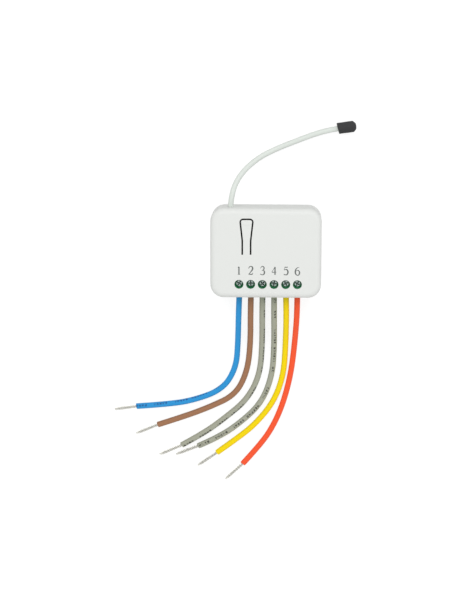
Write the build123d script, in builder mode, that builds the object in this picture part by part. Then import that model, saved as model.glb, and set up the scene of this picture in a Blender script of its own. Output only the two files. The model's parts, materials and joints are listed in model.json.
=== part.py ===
from build123d import *
import math
import os

# A small radio control module for a roller shutter, made to sit in a wall box
# behind a switch. A white rounded case holds two stacked circuit boards, two
# relays, a small power supply and a six-pole terminal block. Six cut and
# stripped wires are clamped in the block, and a thin aerial wire with a rubber
# cap comes out of the opposite side. Sizes are in millimetres. The module lies
# on its back: the floor is z = 0, the front face looks up, the wires leave
# towards -Y and the aerial towards +Y. The origin is the middle of the back.

# The case
case_length = 48.3
case_width = 39.2
case_depth = 18.4
corner_radius = 5.9
front_edge_radius = 2.5
back_edge_chamfer = 2.0
wall = 1.4
front_thickness = 1.6
back_height = 3.6
floor_thickness = 1.6
tongue_clearance = 0.15
tongue_thickness = 1.0
snap_length = 5.0
snap_height = 0.8
snap_proud = 0.45
snap_clearance = 0.1
snap_spacing = 16.0
snap_above_seam = 0.7
seam_chamfer = 0.15
fit_gap = 0.1

# The boards
board_clearance = 0.35
board_thickness = 1.6
board_lift = 2.4
board_corner_radius = 3.1
post_radius = 1.6
post_inset = 2.45
peg_radius = 0.8
peg_proud = 0.5
radio_board_thickness = 0.8
radio_board_end_gap = 0.95
radio_board_gap = 1.1
radio_board_side_gap = 1.05
radio_board_past_tab = 4.7
radio_board_corner = 2.1
header_height = 4.0
header_width = 2.0
header_pitch = 2.54
header_pin_width = 0.64
header_pin_proud = 1.0
header_pin_hole = 0.5
header_long_pins = 6
header_short_pins = 3
header_inset = 1.5
header_long_start = 2.0
header_short_start = 2.6

# The terminal block and its clamps
pole_count = 6
pole_pitch = 5.08
block_offset_x = 1.13
pole_inset = 6.1
block_end_margin = 2.84
block_front_inset = 0.45
block_depth = 9.6
block_floor = 0.4
front_skin = 0.8
block_top_gap = 0.2
block_step_gap = 0.15
opening_below_edge = 0.4
screw_hole_radius = 1.97
well_radius = 1.92
lip_radius = 1.5
lip_thickness = 0.3
wire_diameter = 2.6
wire_bore_clearance = 0.05
conductor_diameter = 0.86
tip_diameter = 1.2
tip_length = 9.6
tip_chamfer = 0.2
entry_clearance = 0.3
jacket_insert = 2.2
conductor_end_gap = 1.0
touch = 0.02
bar_thickness = 1.02
bar_width = 2.2
leg_thickness = 0.6
tail_width = 0.9
tail_proud = 0.6
tail_hole_radius = 0.65
screw_well_depth = 1.8
cage_width = 3.7
cage_depth = 4.4
cage_side = 0.6
cage_floor = 0.92
cage_top_thickness = 1.2
cage_clearance = 0.13
cage_headroom = 0.15
cavity_side_gap = 0.15
cavity_end_gap = 0.4
screw_head_radius = 1.65
screw_head_height = 1.2
screw_head_gap = 0.08
screw_shank_radius = 1.25
thread_clearance = 0.05
recess_width = 0.5
recess_length = 2.3
recess_depth = 0.7
first_screw_turn = 20.0
screw_turn_step = 37.0

# The press tab
tab_inset_x = 15.81
tab_top_inset = 5.0
tab_length = 15.1
tab_neck_length = 6.1
tab_neck_width = 2.94
tab_head_width = 5.12
tab_head_radius = 0.95
tab_bend_radius = 12.0
slot_width = 0.7
root_clearance = 0.05
pad_length = 3.6
pad_width = 1.7
pad_height = 0.15
pad_below_top = 1.35
button_below_top = 1.6
button_post_radius = 1.0
button_gap = 0.05
button_travel = 0.26

# The push switch under the tab, and the other parts of the radio board
switch_size = 4.5
switch_height = 2.4
plunger_radius = 1.0
plunger_clearance = 0.05
plunger_proud = 0.8
plunger_depth = 0.95
shield_length = 9.6
shield_inset_x = 5.5
shield_header_gap = 0.4
shield_antenna_gap = 1.0
shield_height = 2.0
shield_wall = 0.25
chip_size = 5.0
chip_height = 0.9

# The aerial
antenna_inset_x = 8.45
antenna_diameter = 2.4
antenna_hold = 2.9
antenna_hole_clearance = 0.1
clip_width = 3.4
clip_length = 2.6
clip_gap = 0.1
cap_diameter = 5.0
cap_length = 8.1
cap_bore_depth = 4.6
cap_bore_clearance = 0.05
cap_taper = 1.1
cap_rim_round = 0.2

# The relays
relay_gap = 0.4
relay_headroom = 0.6
relay_base_thickness = 1.2
relay_wall = 0.6
relay_pin_radius = 0.45
relay_pin_hole = 0.6
relay_pin_inset = 2.5
relay_pin_edge = 1.25
yoke_thickness = 1.0
yoke_side_room = 2.0
yoke_x = 2.0
yoke_headroom = 0.8
yoke_end_gap = 0.15
pole_face_room = 7.0
core_radius = 1.2
core_clearance = 0.05
coil_clearance = 0.4
flange_thickness = 0.6
flange_proud = 0.2
armature_gap = 0.35
armature_thickness = 0.8
armature_low_z = 2.0
arm_end_room = 2.0
arm_width = 2.4
arm_thickness = 0.4
rivet_radius = 0.7
rivet_proud = 0.3
contact_room = 2.6
contact_strip = 0.4
contact_post_room = 1.3
contact_post_side_gap = 0.9
contact_post_y = 1.5
contact_reach = 0.8
closed_contact_gap = 0.05
open_contact_gap = 0.35

# The power supply
transformer_length = 10.0
transformer_core_width = 4.5
transformer_height = 8.4
core_leg = 1.3
core_middle_leg = 2.6
winding_bulge = 2.05
winding_clearance = 0.1
mains_capacitor_radius = 4.0
capacitor_headroom = 0.4
output_capacitor_radius = 2.0
output_capacitor_height = 7.0
bridge_length = 4.7
bridge_height = 2.4
bridge_leg_pairs = 2
bridge_inset = 4.0
supply_chip_length = 4.9
supply_chip_height = 1.5
supply_chip_leg_pairs = 4
supply_chip_inset = 5.4
chip_width = 3.9
chip_leg_width = 0.4
chip_leg_length = 1.2
chip_leg_reach = 0.8
chip_past_header = 4.6
varistor_radius = 3.5
varistor_thickness = 3.0
varistor_lead_spread = 2.1
loose_row_width = 5.55
loose_shift_y = 0.2
capacitor_relay_gap = 3.15
fuse_radius = 1.5
fuse_gap = 0.5
fuse_post_gap = 0.65
mains_capacitor_gap = 1.25
part_gap = 0.25
lead_radius = 0.35
lead_lift = 0.6

# Places that follow from the sizes above
inner_top = case_depth - front_thickness
half_length = case_length / 2
half_width = case_width / 2
tongue_inset = wall + tongue_clearance
board_inset = tongue_inset + tongue_thickness + board_clearance
board_half_x = half_length - board_inset
board_half_y = half_width - board_inset
board_bottom = floor_thickness + board_lift
board_top = board_bottom + board_thickness
post_x = board_half_x - post_inset
post_y = board_half_y - post_inset
pole_y = -(half_width - pole_inset)
first_pole_x = block_offset_x - pole_pitch * (pole_count - 1) / 2
poles = [first_pole_x + pole_pitch * index for index in range(pole_count)]
block_low_x = poles[0] - block_end_margin
block_high_x = poles[-1] + block_end_margin
block_front_y = -(half_width - block_front_inset)
block_back_y = block_front_y + block_depth
block_top = case_depth - front_skin - block_top_gap
opening_top = case_depth - front_edge_radius - opening_below_edge
cavity_low_z = board_top + block_floor
clamp_below_bar = block_floor + cage_clearance + cage_floor + conductor_diameter + 2 * touch
clamp_above_bar = cage_headroom + cage_top_thickness + screw_head_gap + screw_head_height
clamp_stack = clamp_below_bar + bar_thickness + clamp_above_bar + fit_gap + lip_thickness
cage_travel = (block_top - board_top - screw_well_depth - clamp_stack) / 2
cage_low_z = cavity_low_z + cage_clearance + cage_travel
wire_z = cage_low_z + cage_floor + touch + conductor_diameter / 2
bar_low_z = wire_z + conductor_diameter / 2 + touch
bar_high_z = bar_low_z + bar_thickness
cage_window_top = bar_high_z + cage_travel + cage_headroom
cage_high_z = cage_window_top + cage_top_thickness
cavity_high_z = cage_high_z + touch
head_low_z = cage_high_z + screw_head_gap
head_high_z = head_low_z + screw_head_height
lip_low_z = head_high_z + fit_gap
cavity_front_y = pole_y - cage_depth / 2 - cavity_end_gap
cavity_back_y = pole_y + cage_depth / 2 + cavity_end_gap + leg_thickness + fit_gap
jacket_end_y = block_front_y + jacket_insert
conductor_end_y = cavity_back_y - leg_thickness - conductor_end_gap
tab_x = tab_inset_x - half_length
tab_top_y = half_width - tab_top_inset
tab_root_y = tab_top_y - tab_length
tab_bend_y = tab_root_y + tab_neck_length
pad_y = tab_top_y - pad_below_top
button_y = tab_top_y - button_below_top
winding_half_y = transformer_core_width / 2 + winding_bulge
radio_board_z = board_top + header_height
radio_board_top = radio_board_z + radio_board_thickness
radio_board_low_x = -(half_length - wall - radio_board_side_gap)
radio_board_high_x = tab_x + radio_board_past_tab
radio_board_low_y = block_back_y + relay_gap + 2 * winding_half_y + radio_board_gap
radio_board_high_y = half_width - wall - radio_board_end_gap
radio_board_x = (radio_board_low_x + radio_board_high_x) / 2
radio_board_y = (radio_board_low_y + radio_board_high_y) / 2
antenna_x = antenna_inset_x - half_length
antenna_start_y = radio_board_high_y - antenna_hold
antenna_z = radio_board_top + clip_gap + antenna_diameter / 2
switch_top = radio_board_top + switch_height
plunger_top = switch_top + plunger_proud
relay_height = inner_top - board_top - relay_headroom
relay_width = (board_half_y - block_back_y - loose_row_width) / 2 - relay_gap
capacitor_end_x = transformer_length + mains_capacitor_gap + 2 * mains_capacitor_radius
relay_length = 2 * board_half_x - 2 * part_gap - capacitor_end_x - capacitor_relay_gap
relay_x = board_half_x - relay_length - part_gap
relay_rows = {
    "relay_down": block_back_y + relay_gap + relay_width / 2,
    "relay_up": block_back_y + relay_gap + relay_width / 2 + relay_width + relay_gap,
}
relay_pins = [
    (x, y)
    for x in (relay_pin_inset, relay_length - relay_pin_inset)
    for y in (relay_pin_edge - relay_width / 2, relay_width / 2 - relay_pin_edge)
]

# Routes of the cords: points chosen by hand. Each wire leaves its pole straight
# and level, comes down to the floor and bends away to the left in its own curve.
wire_floor_z = wire_diameter / 2
antenna_floor_z = antenna_diameter / 2
cap_z = cap_diameter / 2
wire_turn_y = -26.5
antenna_turn_y = 23.3
wire_routes = {
    "blue_wire": [(-12.5, -43.0), (-13.4, -54.5), (-19.5, -64.5), (-33.5, -69.8), (-46.0, -71.7),
                  (-58.3, -72.8)],
    "brown_wire": [(-6.9, -43.0), (-8.3, -56.0), (-13.6, -66.8), (-25.3, -72.6), (-37.2, -77.2),
                   (-48.6, -81.0)],
    "grey_wire_1": [(-1.6, -43.0), (-2.65, -57.5), (-8.4, -69.0), (-18.4, -77.6), (-28.0, -84.6),
                    (-37.6, -89.9)],
    "grey_wire_2": [(3.75, -43.0), (3.0, -57.5), (-1.9, -70.5), (-11.6, -79.9), (-21.5, -86.7),
                    (-30.4, -90.6)],
    "yellow_wire": [(8.85, -43.0), (8.0, -57.5), (3.6, -70.0), (-4.9, -80.6), (-13.5, -87.4),
                    (-21.6, -93.4)],
    "red_wire": [(12.9, -43.0), (11.2, -57.5), (7.6, -71.5), (2.5, -83.0), (-4.0, -91.8),
                 (-10.2, -98.8)],
}
conductor_names = ["blue_conductor", "brown_conductor", "grey_conductor_1", "grey_conductor_2",
                   "yellow_conductor", "red_conductor"]
antenna_route = [
    (antenna_x, antenna_start_y, antenna_z),
    (antenna_x, antenna_turn_y, antenna_z),
    (-12.2, 32.8, 7.8),
    (-4.1, 40.1, 3.2),
    (4.6, 44.3, antenna_floor_z),
    (12.0, 47.2, antenna_floor_z),
    (20.0, 50.3, antenna_floor_z),
    (28.0, 52.75, cap_z),
    (35.5, 53.75, cap_z),
]

os.makedirs("parts", exist_ok=True)


def block(low, high, mode=Mode.ADD):
    """A box from its lowest corner to its highest, in the part being built."""
    sides = [top - bottom for bottom, top in zip(low, high)]
    with Locations(low):
        Box(*sides, align=(Align.MIN, Align.MIN, Align.MIN), mode=mode)


def rod(start, direction, radius, length, mode=Mode.ADD):
    """A round bar or bore that starts at a point and runs in a direction."""
    with Locations(Plane(origin=start, z_dir=direction)):
        Cylinder(radius, length, align=(Align.CENTER, Align.CENTER, Align.MIN), mode=mode)


def case_outline(inset):
    """The rounded outline of the case, drawn in by an inset."""
    RectangleRounded(case_length - 2 * inset, case_width - 2 * inset, corner_radius - inset)


def tab_points(grow):
    """The corners of the press tab from its root up, or of the opening round it."""
    neck = tab_neck_width / 2 + grow
    head = tab_head_width / 2 + grow
    return [
        (tab_x - neck, tab_root_y),
        (tab_x - neck, tab_bend_y),
        (tab_x - head, tab_top_y + grow),
        (tab_x + head, tab_top_y + grow),
        (tab_x + neck, tab_bend_y),
        (tab_x + neck, tab_root_y),
    ]


def round_tab(sketch, grow):
    """Rounds the bends and the head of the tab's outline."""
    fillet(sketch.vertices().group_by(Axis.Y)[1], tab_bend_radius)
    fillet(sketch.vertices().group_by(Axis.Y)[-1], tab_head_radius + grow)


# The back cover: a shallow tray with the flat back, the tongue that plugs into
# the front cover, the posts that carry the main board and the sill in front of
# the terminal block.
with BuildPart() as back_cover:
    with BuildSketch():
        case_outline(0)
    extrude(amount=back_height)
    chamfer(back_cover.faces().sort_by(Axis.Z)[0].edges(), back_edge_chamfer)
    chamfer(back_cover.faces().sort_by(Axis.Z)[-1].edges(), seam_chamfer)
    with BuildSketch(Plane.XY.offset(back_height)):
        case_outline(tongue_inset)
    extrude(amount=board_top - back_height)
    with BuildSketch(Plane.XY.offset(floor_thickness)):
        case_outline(tongue_inset + tongue_thickness)
    extrude(amount=board_top - floor_thickness, mode=Mode.SUBTRACT)
    for x in (-post_x, post_x):
        for y in (-post_y, post_y):
            rod((x, y, floor_thickness), (0, 0, 1), post_radius, board_lift)
        peg_length = board_lift + board_thickness + peg_proud
        rod((x, post_y, floor_thickness), (0, 0, 1), peg_radius, peg_length)
    block(
        (block_low_x - fit_gap, -half_width, back_height),
        (block_high_x + fit_gap, -half_width + tongue_inset + tongue_thickness / 2, board_top - fit_gap),
    )
    for side in (-1, 1):
        tongue_x = side * (half_length - tongue_inset)
        for y in (-snap_spacing / 2, snap_spacing / 2):
            with Locations((tongue_x, y, back_height + snap_above_seam + snap_height / 2)):
                Box(2 * snap_proud, snap_length, snap_height)
back_cover.part.label = "back_cover"
export_step(back_cover.part, "parts/back_cover.step")

# The front cover: the deep shell with the round-edged front face, the slot
# round the press tab, six screwdriver holes, the hole for the aerial and the
# opening in which the terminal block shows.
with BuildPart() as front_cover:
    with BuildSketch(Plane.XY.offset(back_height)):
        case_outline(0)
    extrude(amount=case_depth - back_height)
    fillet(front_cover.faces().sort_by(Axis.Z)[-1].edges(), front_edge_radius)
    chamfer(front_cover.faces().sort_by(Axis.Z)[0].edges(), seam_chamfer)
    with BuildSketch(Plane.XY.offset(back_height)):
        case_outline(wall)
    extrude(amount=inner_top - back_height, mode=Mode.SUBTRACT)
    # a post inside the front holds the main board down, as the terminal block does
    post_base = (post_x, post_y, board_top + fit_gap)
    rod(post_base, (0, 0, 1), post_radius, inner_top - board_top)
    rod(post_base, (0, 0, 1), peg_radius + fit_gap, peg_proud, Mode.SUBTRACT)
    # room for the terminal block, its opening and the screwdriver holes
    block(
        (block_low_x - fit_gap, -half_width + wall, inner_top - fit_gap),
        (block_high_x + fit_gap, block_back_y + fit_gap, case_depth - front_skin),
        Mode.SUBTRACT,
    )
    block(
        (block_low_x - 2 * fit_gap, -half_width - wall, back_height),
        (block_high_x + 2 * fit_gap, -half_width + 2 * wall, opening_top),
        Mode.SUBTRACT,
    )
    for x in poles:
        rod((x, pole_y, inner_top), (0, 0, 1), screw_hole_radius, front_thickness, Mode.SUBTRACT)
    # pockets for the snaps of the back cover
    for side in (-1, 1):
        pocket_x = side * (half_length - wall)
        for y in (-snap_spacing / 2, snap_spacing / 2):
            with Locations((pocket_x, y, back_height + snap_above_seam + snap_height / 2)):
                Box(
                    2 * (snap_proud - tongue_clearance + snap_clearance),
                    snap_length + 2 * snap_clearance,
                    snap_height + 2 * snap_clearance,
                    mode=Mode.SUBTRACT,
                )
    rod(
        (antenna_x, half_width - 2 * wall, antenna_z),
        (0, 1, 0),
        antenna_diameter / 2 + antenna_hole_clearance,
        3 * wall,
        Mode.SUBTRACT,
    )
    # the slot round the press tab and the groove for its root
    with BuildSketch(Plane.XY.offset(inner_top)) as tab_opening:
        with BuildLine():
            Polyline(*tab_points(slot_width), close=True)
        make_face()
        round_tab(tab_opening, slot_width)
    extrude(amount=front_thickness, mode=Mode.SUBTRACT)
    rod(
        (tab_x - tab_neck_width / 2 - root_clearance, tab_root_y, inner_top + front_thickness / 2),
        (1, 0, 0),
        front_thickness / 2 + root_clearance,
        tab_neck_width + 2 * root_clearance,
        Mode.SUBTRACT,
    )
front_cover.part.label = "front_cover"
export_step(front_cover.part, "parts/front_cover.step")

# The press tab: on the real cover it is one piece with the front, cut free by a
# slot and bending at its root. Here its root is a round bead that turns in a
# groove, so that it can move as a joint.
with BuildPart() as press_tab:
    with BuildSketch(Plane.XY.offset(inner_top)) as tab_face:
        with BuildLine():
            Polyline(*tab_points(0), close=True)
        make_face()
        round_tab(tab_face, 0)
    extrude(amount=front_thickness)
    rod(
        (tab_x - tab_neck_width / 2, tab_root_y, inner_top + front_thickness / 2),
        (1, 0, 0),
        front_thickness / 2,
        tab_neck_width,
    )
    with Locations((tab_x, pad_y, case_depth)):
        Box(pad_length, pad_width, 2 * pad_height)
    rod(
        (tab_x, button_y, plunger_top + button_gap),
        (0, 0, 1),
        button_post_radius,
        inner_top - plunger_top,
    )
press_tab.part.label = "press_tab"
export_step(press_tab.part, "parts/press_tab.step")

# The main board, with holes for the pegs, the terminal tails, the header pins
# and the relay pins.
header_long_y = radio_board_low_y + header_inset
header_short_y = radio_board_high_y - header_inset + fit_gap
header_long_x = [
    radio_board_low_x + header_long_start + header_pitch * index for index in range(header_long_pins)
]
header_short_x = [
    radio_board_high_x - header_short_start - header_pitch * index for index in range(header_short_pins)
]
header_pins = [(x, header_long_y) for x in header_long_x]
header_pins += [(x, header_short_y) for x in header_short_x]
tail_y = cavity_back_y - leg_thickness / 2
with BuildPart() as main_board:
    with BuildSketch(Plane.XY.offset(board_bottom)):
        RectangleRounded(2 * board_half_x, 2 * board_half_y, board_corner_radius)
        with Locations((-post_x, post_y), (post_x, post_y)):
            Circle(peg_radius + fit_gap, mode=Mode.SUBTRACT)
        with Locations(*[(x, tail_y) for x in poles]):
            Circle(tail_hole_radius, mode=Mode.SUBTRACT)
        with Locations(*header_pins):
            Circle(header_pin_hole, mode=Mode.SUBTRACT)
        with Locations(*[(relay_x + x, row + y) for row in relay_rows.values() for x, y in relay_pins]):
            Circle(relay_pin_hole, mode=Mode.SUBTRACT)
    extrude(amount=board_thickness)
main_board.part.label = "main_board"
export_step(main_board.part, "parts/main_board.step")

# The radio board, carried above the main board by two rows of header pins.
with BuildPart() as radio_board:
    with BuildSketch(Plane.XY.offset(radio_board_z)):
        with Locations((radio_board_x, radio_board_y)):
            RectangleRounded(
                radio_board_high_x - radio_board_low_x,
                radio_board_high_y - radio_board_low_y,
                radio_board_corner,
            )
        with Locations(*header_pins):
            Circle(header_pin_hole, mode=Mode.SUBTRACT)
    extrude(amount=radio_board_thickness)
radio_board.part.label = "radio_board"
export_step(radio_board.part, "parts/radio_board.step")

with BuildPart() as board_headers:
    for row_x, row_y in ((header_long_x, header_long_y), (header_short_x, header_short_y)):
        block(
            (min(row_x) - header_pitch / 2, row_y - header_width / 2, board_top),
            (max(row_x) + header_pitch / 2, row_y + header_width / 2, radio_board_z),
        )
        half_pin = header_pin_width / 2
        for x in row_x:
            block(
                (x - half_pin, row_y - half_pin, board_bottom - tail_proud),
                (x + half_pin, row_y + half_pin, radio_board_top + header_pin_proud),
            )
board_headers.part.label = "board_headers"
export_step(board_headers.part, "parts/board_headers.step")

# The radio chip under its tin shield, between the long header and the aerial.
shield_x = radio_board_low_x + shield_inset_x
shield_low_y = header_long_y + header_width / 2 + shield_header_gap
shield_high_y = antenna_start_y - shield_antenna_gap
shield_width = shield_high_y - shield_low_y
shield_y = (shield_low_y + shield_high_y) / 2
with BuildPart() as radio_shield:
    with Locations((shield_x, shield_y, radio_board_top)):
        Box(shield_length, shield_width, shield_height, align=(Align.CENTER, Align.CENTER, Align.MIN))
        Box(
            shield_length - 2 * shield_wall,
            shield_width - 2 * shield_wall,
            shield_height - shield_wall,
            align=(Align.CENTER, Align.CENTER, Align.MIN),
            mode=Mode.SUBTRACT,
        )
    fillet(radio_shield.edges().filter_by(Axis.Z).group_by(Axis.Y)[0], shield_wall)
    fillet(radio_shield.edges().filter_by(Axis.Z).group_by(Axis.Y)[-1], shield_wall)
radio_shield.part.label = "radio_shield"
export_step(radio_shield.part, "parts/radio_shield.step")

with BuildPart() as radio_chip:
    with Locations((shield_x, shield_y, radio_board_top)):
        Box(chip_size, chip_size, chip_height, align=(Align.CENTER, Align.CENTER, Align.MIN))
    chamfer(radio_chip.faces().sort_by(Axis.Z)[-1].edges(), chip_height / 6)
radio_chip.part.label = "radio_chip"
export_step(radio_chip.part, "parts/radio_chip.step")

# The push switch that the tab works: a square body with a round plunger.
with BuildPart() as switch_body:
    with Locations((tab_x, button_y, radio_board_top)):
        Box(switch_size, switch_size, switch_height, align=(Align.CENTER, Align.CENTER, Align.MIN))
    fillet(switch_body.edges().filter_by(Axis.Z), switch_size / 10)
    rod(
        (tab_x, button_y, switch_top - plunger_depth - button_travel - plunger_clearance),
        (0, 0, 1),
        plunger_radius + plunger_clearance,
        switch_height,
        Mode.SUBTRACT,
    )
switch_body.part.label = "switch_body"
export_step(switch_body.part, "parts/switch_body.step")

with BuildPart() as switch_plunger:
    rod(
        (tab_x, button_y, switch_top - plunger_depth),
        (0, 0, 1),
        plunger_radius,
        plunger_depth + plunger_proud,
    )
    fillet(switch_plunger.faces().sort_by(Axis.Z)[-1].edges(), plunger_radius / 5)
switch_plunger.part.label = "switch_plunger"
export_step(switch_plunger.part, "parts/switch_plunger.step")

# The saddle that holds the aerial on the radio board.
with BuildPart() as antenna_clip:
    block(
        (antenna_x - clip_width / 2, antenna_start_y, radio_board_top),
        (antenna_x + clip_width / 2, antenna_start_y + clip_length, antenna_z),
    )
    rod(
        (antenna_x, antenna_start_y - fit_gap, antenna_z),
        (0, 1, 0),
        antenna_diameter / 2 + touch,
        clip_length + 2 * fit_gap,
        Mode.SUBTRACT,
    )
antenna_clip.part.label = "antenna_clip"
export_step(antenna_clip.part, "parts/antenna_clip.step")

# The terminal block: one green moulding with a screw well, a clamp cavity and a
# wire entry at each pole.
with BuildPart() as terminal_block:
    block((block_low_x, block_front_y, board_top), (block_high_x, block_back_y, block_top))
    block(
        (block_low_x, block_front_y, opening_top - block_top_gap),
        (block_high_x, -half_width + wall + block_step_gap, block_top),
        Mode.SUBTRACT,
    )
    for x in poles:
        block(
            (x - cage_width / 2 - cavity_side_gap, cavity_front_y, cavity_low_z),
            (x + cage_width / 2 + cavity_side_gap, cavity_back_y, cavity_high_z),
            Mode.SUBTRACT,
        )
        rod((x, pole_y, cage_high_z), (0, 0, 1), well_radius, lip_low_z - cage_high_z, Mode.SUBTRACT)
        rod((x, pole_y, cage_high_z), (0, 0, 1), lip_radius, block_top - cage_high_z, Mode.SUBTRACT)
        rod(
            (x, pole_y, lip_low_z + lip_thickness),
            (0, 0, 1),
            well_radius,
            block_top - lip_low_z - lip_thickness,
            Mode.SUBTRACT,
        )
        rod(
            (x, block_front_y, wire_z),
            (0, 1, 0),
            wire_diameter / 2 + entry_clearance,
            jacket_insert + fit_gap,
            Mode.SUBTRACT,
        )
        rod(
            (x, block_front_y, wire_z),
            (0, 1, 0),
            conductor_diameter / 2 + entry_clearance,
            cavity_front_y - block_front_y + fit_gap,
            Mode.SUBTRACT,
        )
        rod((x, tail_y, board_top), (0, 0, 1), tail_hole_radius, block_floor, Mode.SUBTRACT)
terminal_block.part.label = "terminal_block"
export_step(terminal_block.part, "parts/terminal_block.step")

# The contact bars: above each wire end, with a leg down to the board.
with BuildPart() as contact_bars:
    for x in poles:
        block(
            (x - bar_width / 2, cavity_front_y, bar_low_z),
            (x + bar_width / 2, cavity_back_y, bar_high_z),
        )
        block(
            (x - bar_width / 2, cavity_back_y - leg_thickness, cavity_low_z),
            (x + bar_width / 2, cavity_back_y, bar_high_z),
        )
        block(
            (x - tail_width / 2, cavity_back_y - leg_thickness, board_bottom - tail_proud),
            (x + tail_width / 2, cavity_back_y, cavity_low_z),
        )
contact_bars.part.label = "contact_bars"
export_step(contact_bars.part, "parts/contact_bars.step")

# The clamps: each screw stands on its contact bar and draws a steel cage up
# round it, which squeezes the wire end from below. Threads are left plain.
for number, x in enumerate(poles, start=1):
    with BuildPart() as terminal_screw:
        rod((x, pole_y, bar_high_z + touch), (0, 0, 1), screw_shank_radius, head_low_z - bar_high_z)
        rod((x, pole_y, head_low_z), (0, 0, 1), screw_head_radius, screw_head_height)
        fillet(
            terminal_screw.faces().sort_by(Axis.Z)[-1].edges(),
            screw_head_height / 6,
        )
        turn = first_screw_turn + screw_turn_step * number
        with BuildSketch(Plane(origin=(x, pole_y, head_high_z - recess_depth))):
            SlotOverall(recess_length, recess_width, rotation=turn)
            SlotOverall(recess_length, recess_width, rotation=turn + 90)
        extrude(amount=recess_depth, mode=Mode.SUBTRACT)
    terminal_screw.part.label = f"terminal_screw_{number}"
    export_step(terminal_screw.part, f"parts/terminal_screw_{number}.step")

    with BuildPart() as clamp_cage:
        block(
            (x - cage_width / 2, pole_y - cage_depth / 2, cage_low_z),
            (x + cage_width / 2, pole_y + cage_depth / 2, cage_high_z),
        )
        fillet(clamp_cage.edges().filter_by(Axis.Y), cage_side / 2)
        block(
            (x - cage_width / 2 + cage_side, pole_y - cage_depth, cage_low_z + cage_floor),
            (x + cage_width / 2 - cage_side, pole_y + cage_depth, cage_window_top),
            Mode.SUBTRACT,
        )
        rod(
            (x, pole_y, cage_window_top),
            (0, 0, 1),
            screw_shank_radius + thread_clearance,
            cage_top_thickness,
            Mode.SUBTRACT,
        )
    clamp_cage.part.label = f"clamp_cage_{number}"
    export_step(clamp_cage.part, f"parts/clamp_cage_{number}.step")


def bend_radii(points):
    """The arc at each corner of a route: as large as its two runs allow."""
    radii = []
    for before, corner, after in zip(points, points[1:], points[2:]):
        run_in = Vector(*corner) - Vector(*before)
        run_out = Vector(*after) - Vector(*corner)
        half_turn = math.radians(run_in.get_angle(run_out)) / 2
        radii.append(0.45 * min(run_in.length, run_out.length) / math.tan(half_turn))
    return radii


def report_route(name, path, tube, section, radii):
    """Prints the arcs of a cord, and its volume against section times length."""
    length = sum(edge.length for edge in path.edges())
    print(name, "length", round(length, 1), "radii", [round(radius, 1) for radius in radii])
    print("   volume", round(tube.part.volume, 2), "section x length", round(section * length, 2))


# The wires: a coloured jacket round a tinned copper conductor, whose inner end
# lies in the clamp and whose outer end is bare.
for x, wire_name, conductor_name in zip(poles, wire_routes, conductor_names):
    floor_points = [(px, py, wire_floor_z) for px, py in wire_routes[wire_name]]
    route = [(x, jacket_end_y, wire_z), (x, wire_turn_y, wire_z)] + floor_points
    radii = bend_radii(route)
    bore_radius = conductor_diameter / 2 + wire_bore_clearance
    with BuildPart() as jacket:
        with BuildLine() as jacket_path:
            FilletPolyline(*route, radius=radii)
        with BuildSketch(Plane(origin=route[0], z_dir=(0, -1, 0))):
            Circle(wire_diameter / 2)
            Circle(bore_radius, mode=Mode.SUBTRACT)
        sweep()
    jacket.part.label = wire_name
    export_step(jacket.part, f"parts/{wire_name}.step")
    ring = math.pi * ((wire_diameter / 2) ** 2 - bore_radius**2)
    report_route(wire_name, jacket_path, jacket, ring, radii)

    end = Vector(*route[-1])
    outward = (end - Vector(*route[-2])).normalized()
    inner_route = [(x, conductor_end_y, wire_z)] + route[1:]
    with BuildPart() as conductor:
        with BuildLine() as conductor_path:
            FilletPolyline(*inner_route, radius=radii)
        with BuildSketch(Plane(origin=inner_route[0], z_dir=(0, -1, 0))):
            Circle(conductor_diameter / 2)
        sweep()
        core = math.pi * (conductor_diameter / 2) ** 2
        report_route(conductor_name, conductor_path, conductor, core, radii)
        rod(tuple(end), tuple(outward), tip_diameter / 2, tip_length)
        tip_face = conductor.faces().sort_by_distance(tuple(end + outward * tip_length))[0]
        chamfer(tip_face.edges(), tip_chamfer)
    conductor.part.label = conductor_name
    export_step(conductor.part, f"parts/{conductor_name}.step")

# The aerial wire and the rubber cap on its far end.
antenna_radii = bend_radii(antenna_route)
with BuildPart() as antenna_wire:
    with BuildLine() as antenna_path:
        FilletPolyline(*antenna_route, radius=antenna_radii)
    with BuildSketch(Plane(origin=antenna_route[0], z_dir=(0, 1, 0))):
        Circle(antenna_diameter / 2)
    sweep()
antenna_wire.part.label = "antenna_wire"
export_step(antenna_wire.part, "parts/antenna_wire.step")
antenna_section = math.pi * (antenna_diameter / 2) ** 2
report_route("antenna_wire", antenna_path, antenna_wire, antenna_section, antenna_radii)

antenna_end = Vector(*antenna_route[-1])
cap_axis = (antenna_end - Vector(*antenna_route[-2])).normalized()
cap_start = antenna_end - cap_axis * cap_bore_depth
with BuildPart() as antenna_cap:
    rod(tuple(cap_start), tuple(cap_axis), cap_diameter / 2, cap_length)
    far_face = antenna_cap.faces().sort_by_distance(tuple(cap_start + cap_axis * cap_length))[0]
    chamfer(far_face.edges(), cap_taper)
    near_face = antenna_cap.faces().sort_by_distance(tuple(cap_start))[0]
    fillet(near_face.edges(), cap_rim_round)
    rod(
        tuple(cap_start),
        tuple(cap_axis),
        antenna_diameter / 2 + cap_bore_clearance,
        cap_bore_depth + touch,
        Mode.SUBTRACT,
    )
antenna_cap.part.label = "antenna_cap"
export_step(antenna_cap.part, "parts/antenna_cap.step")

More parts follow.
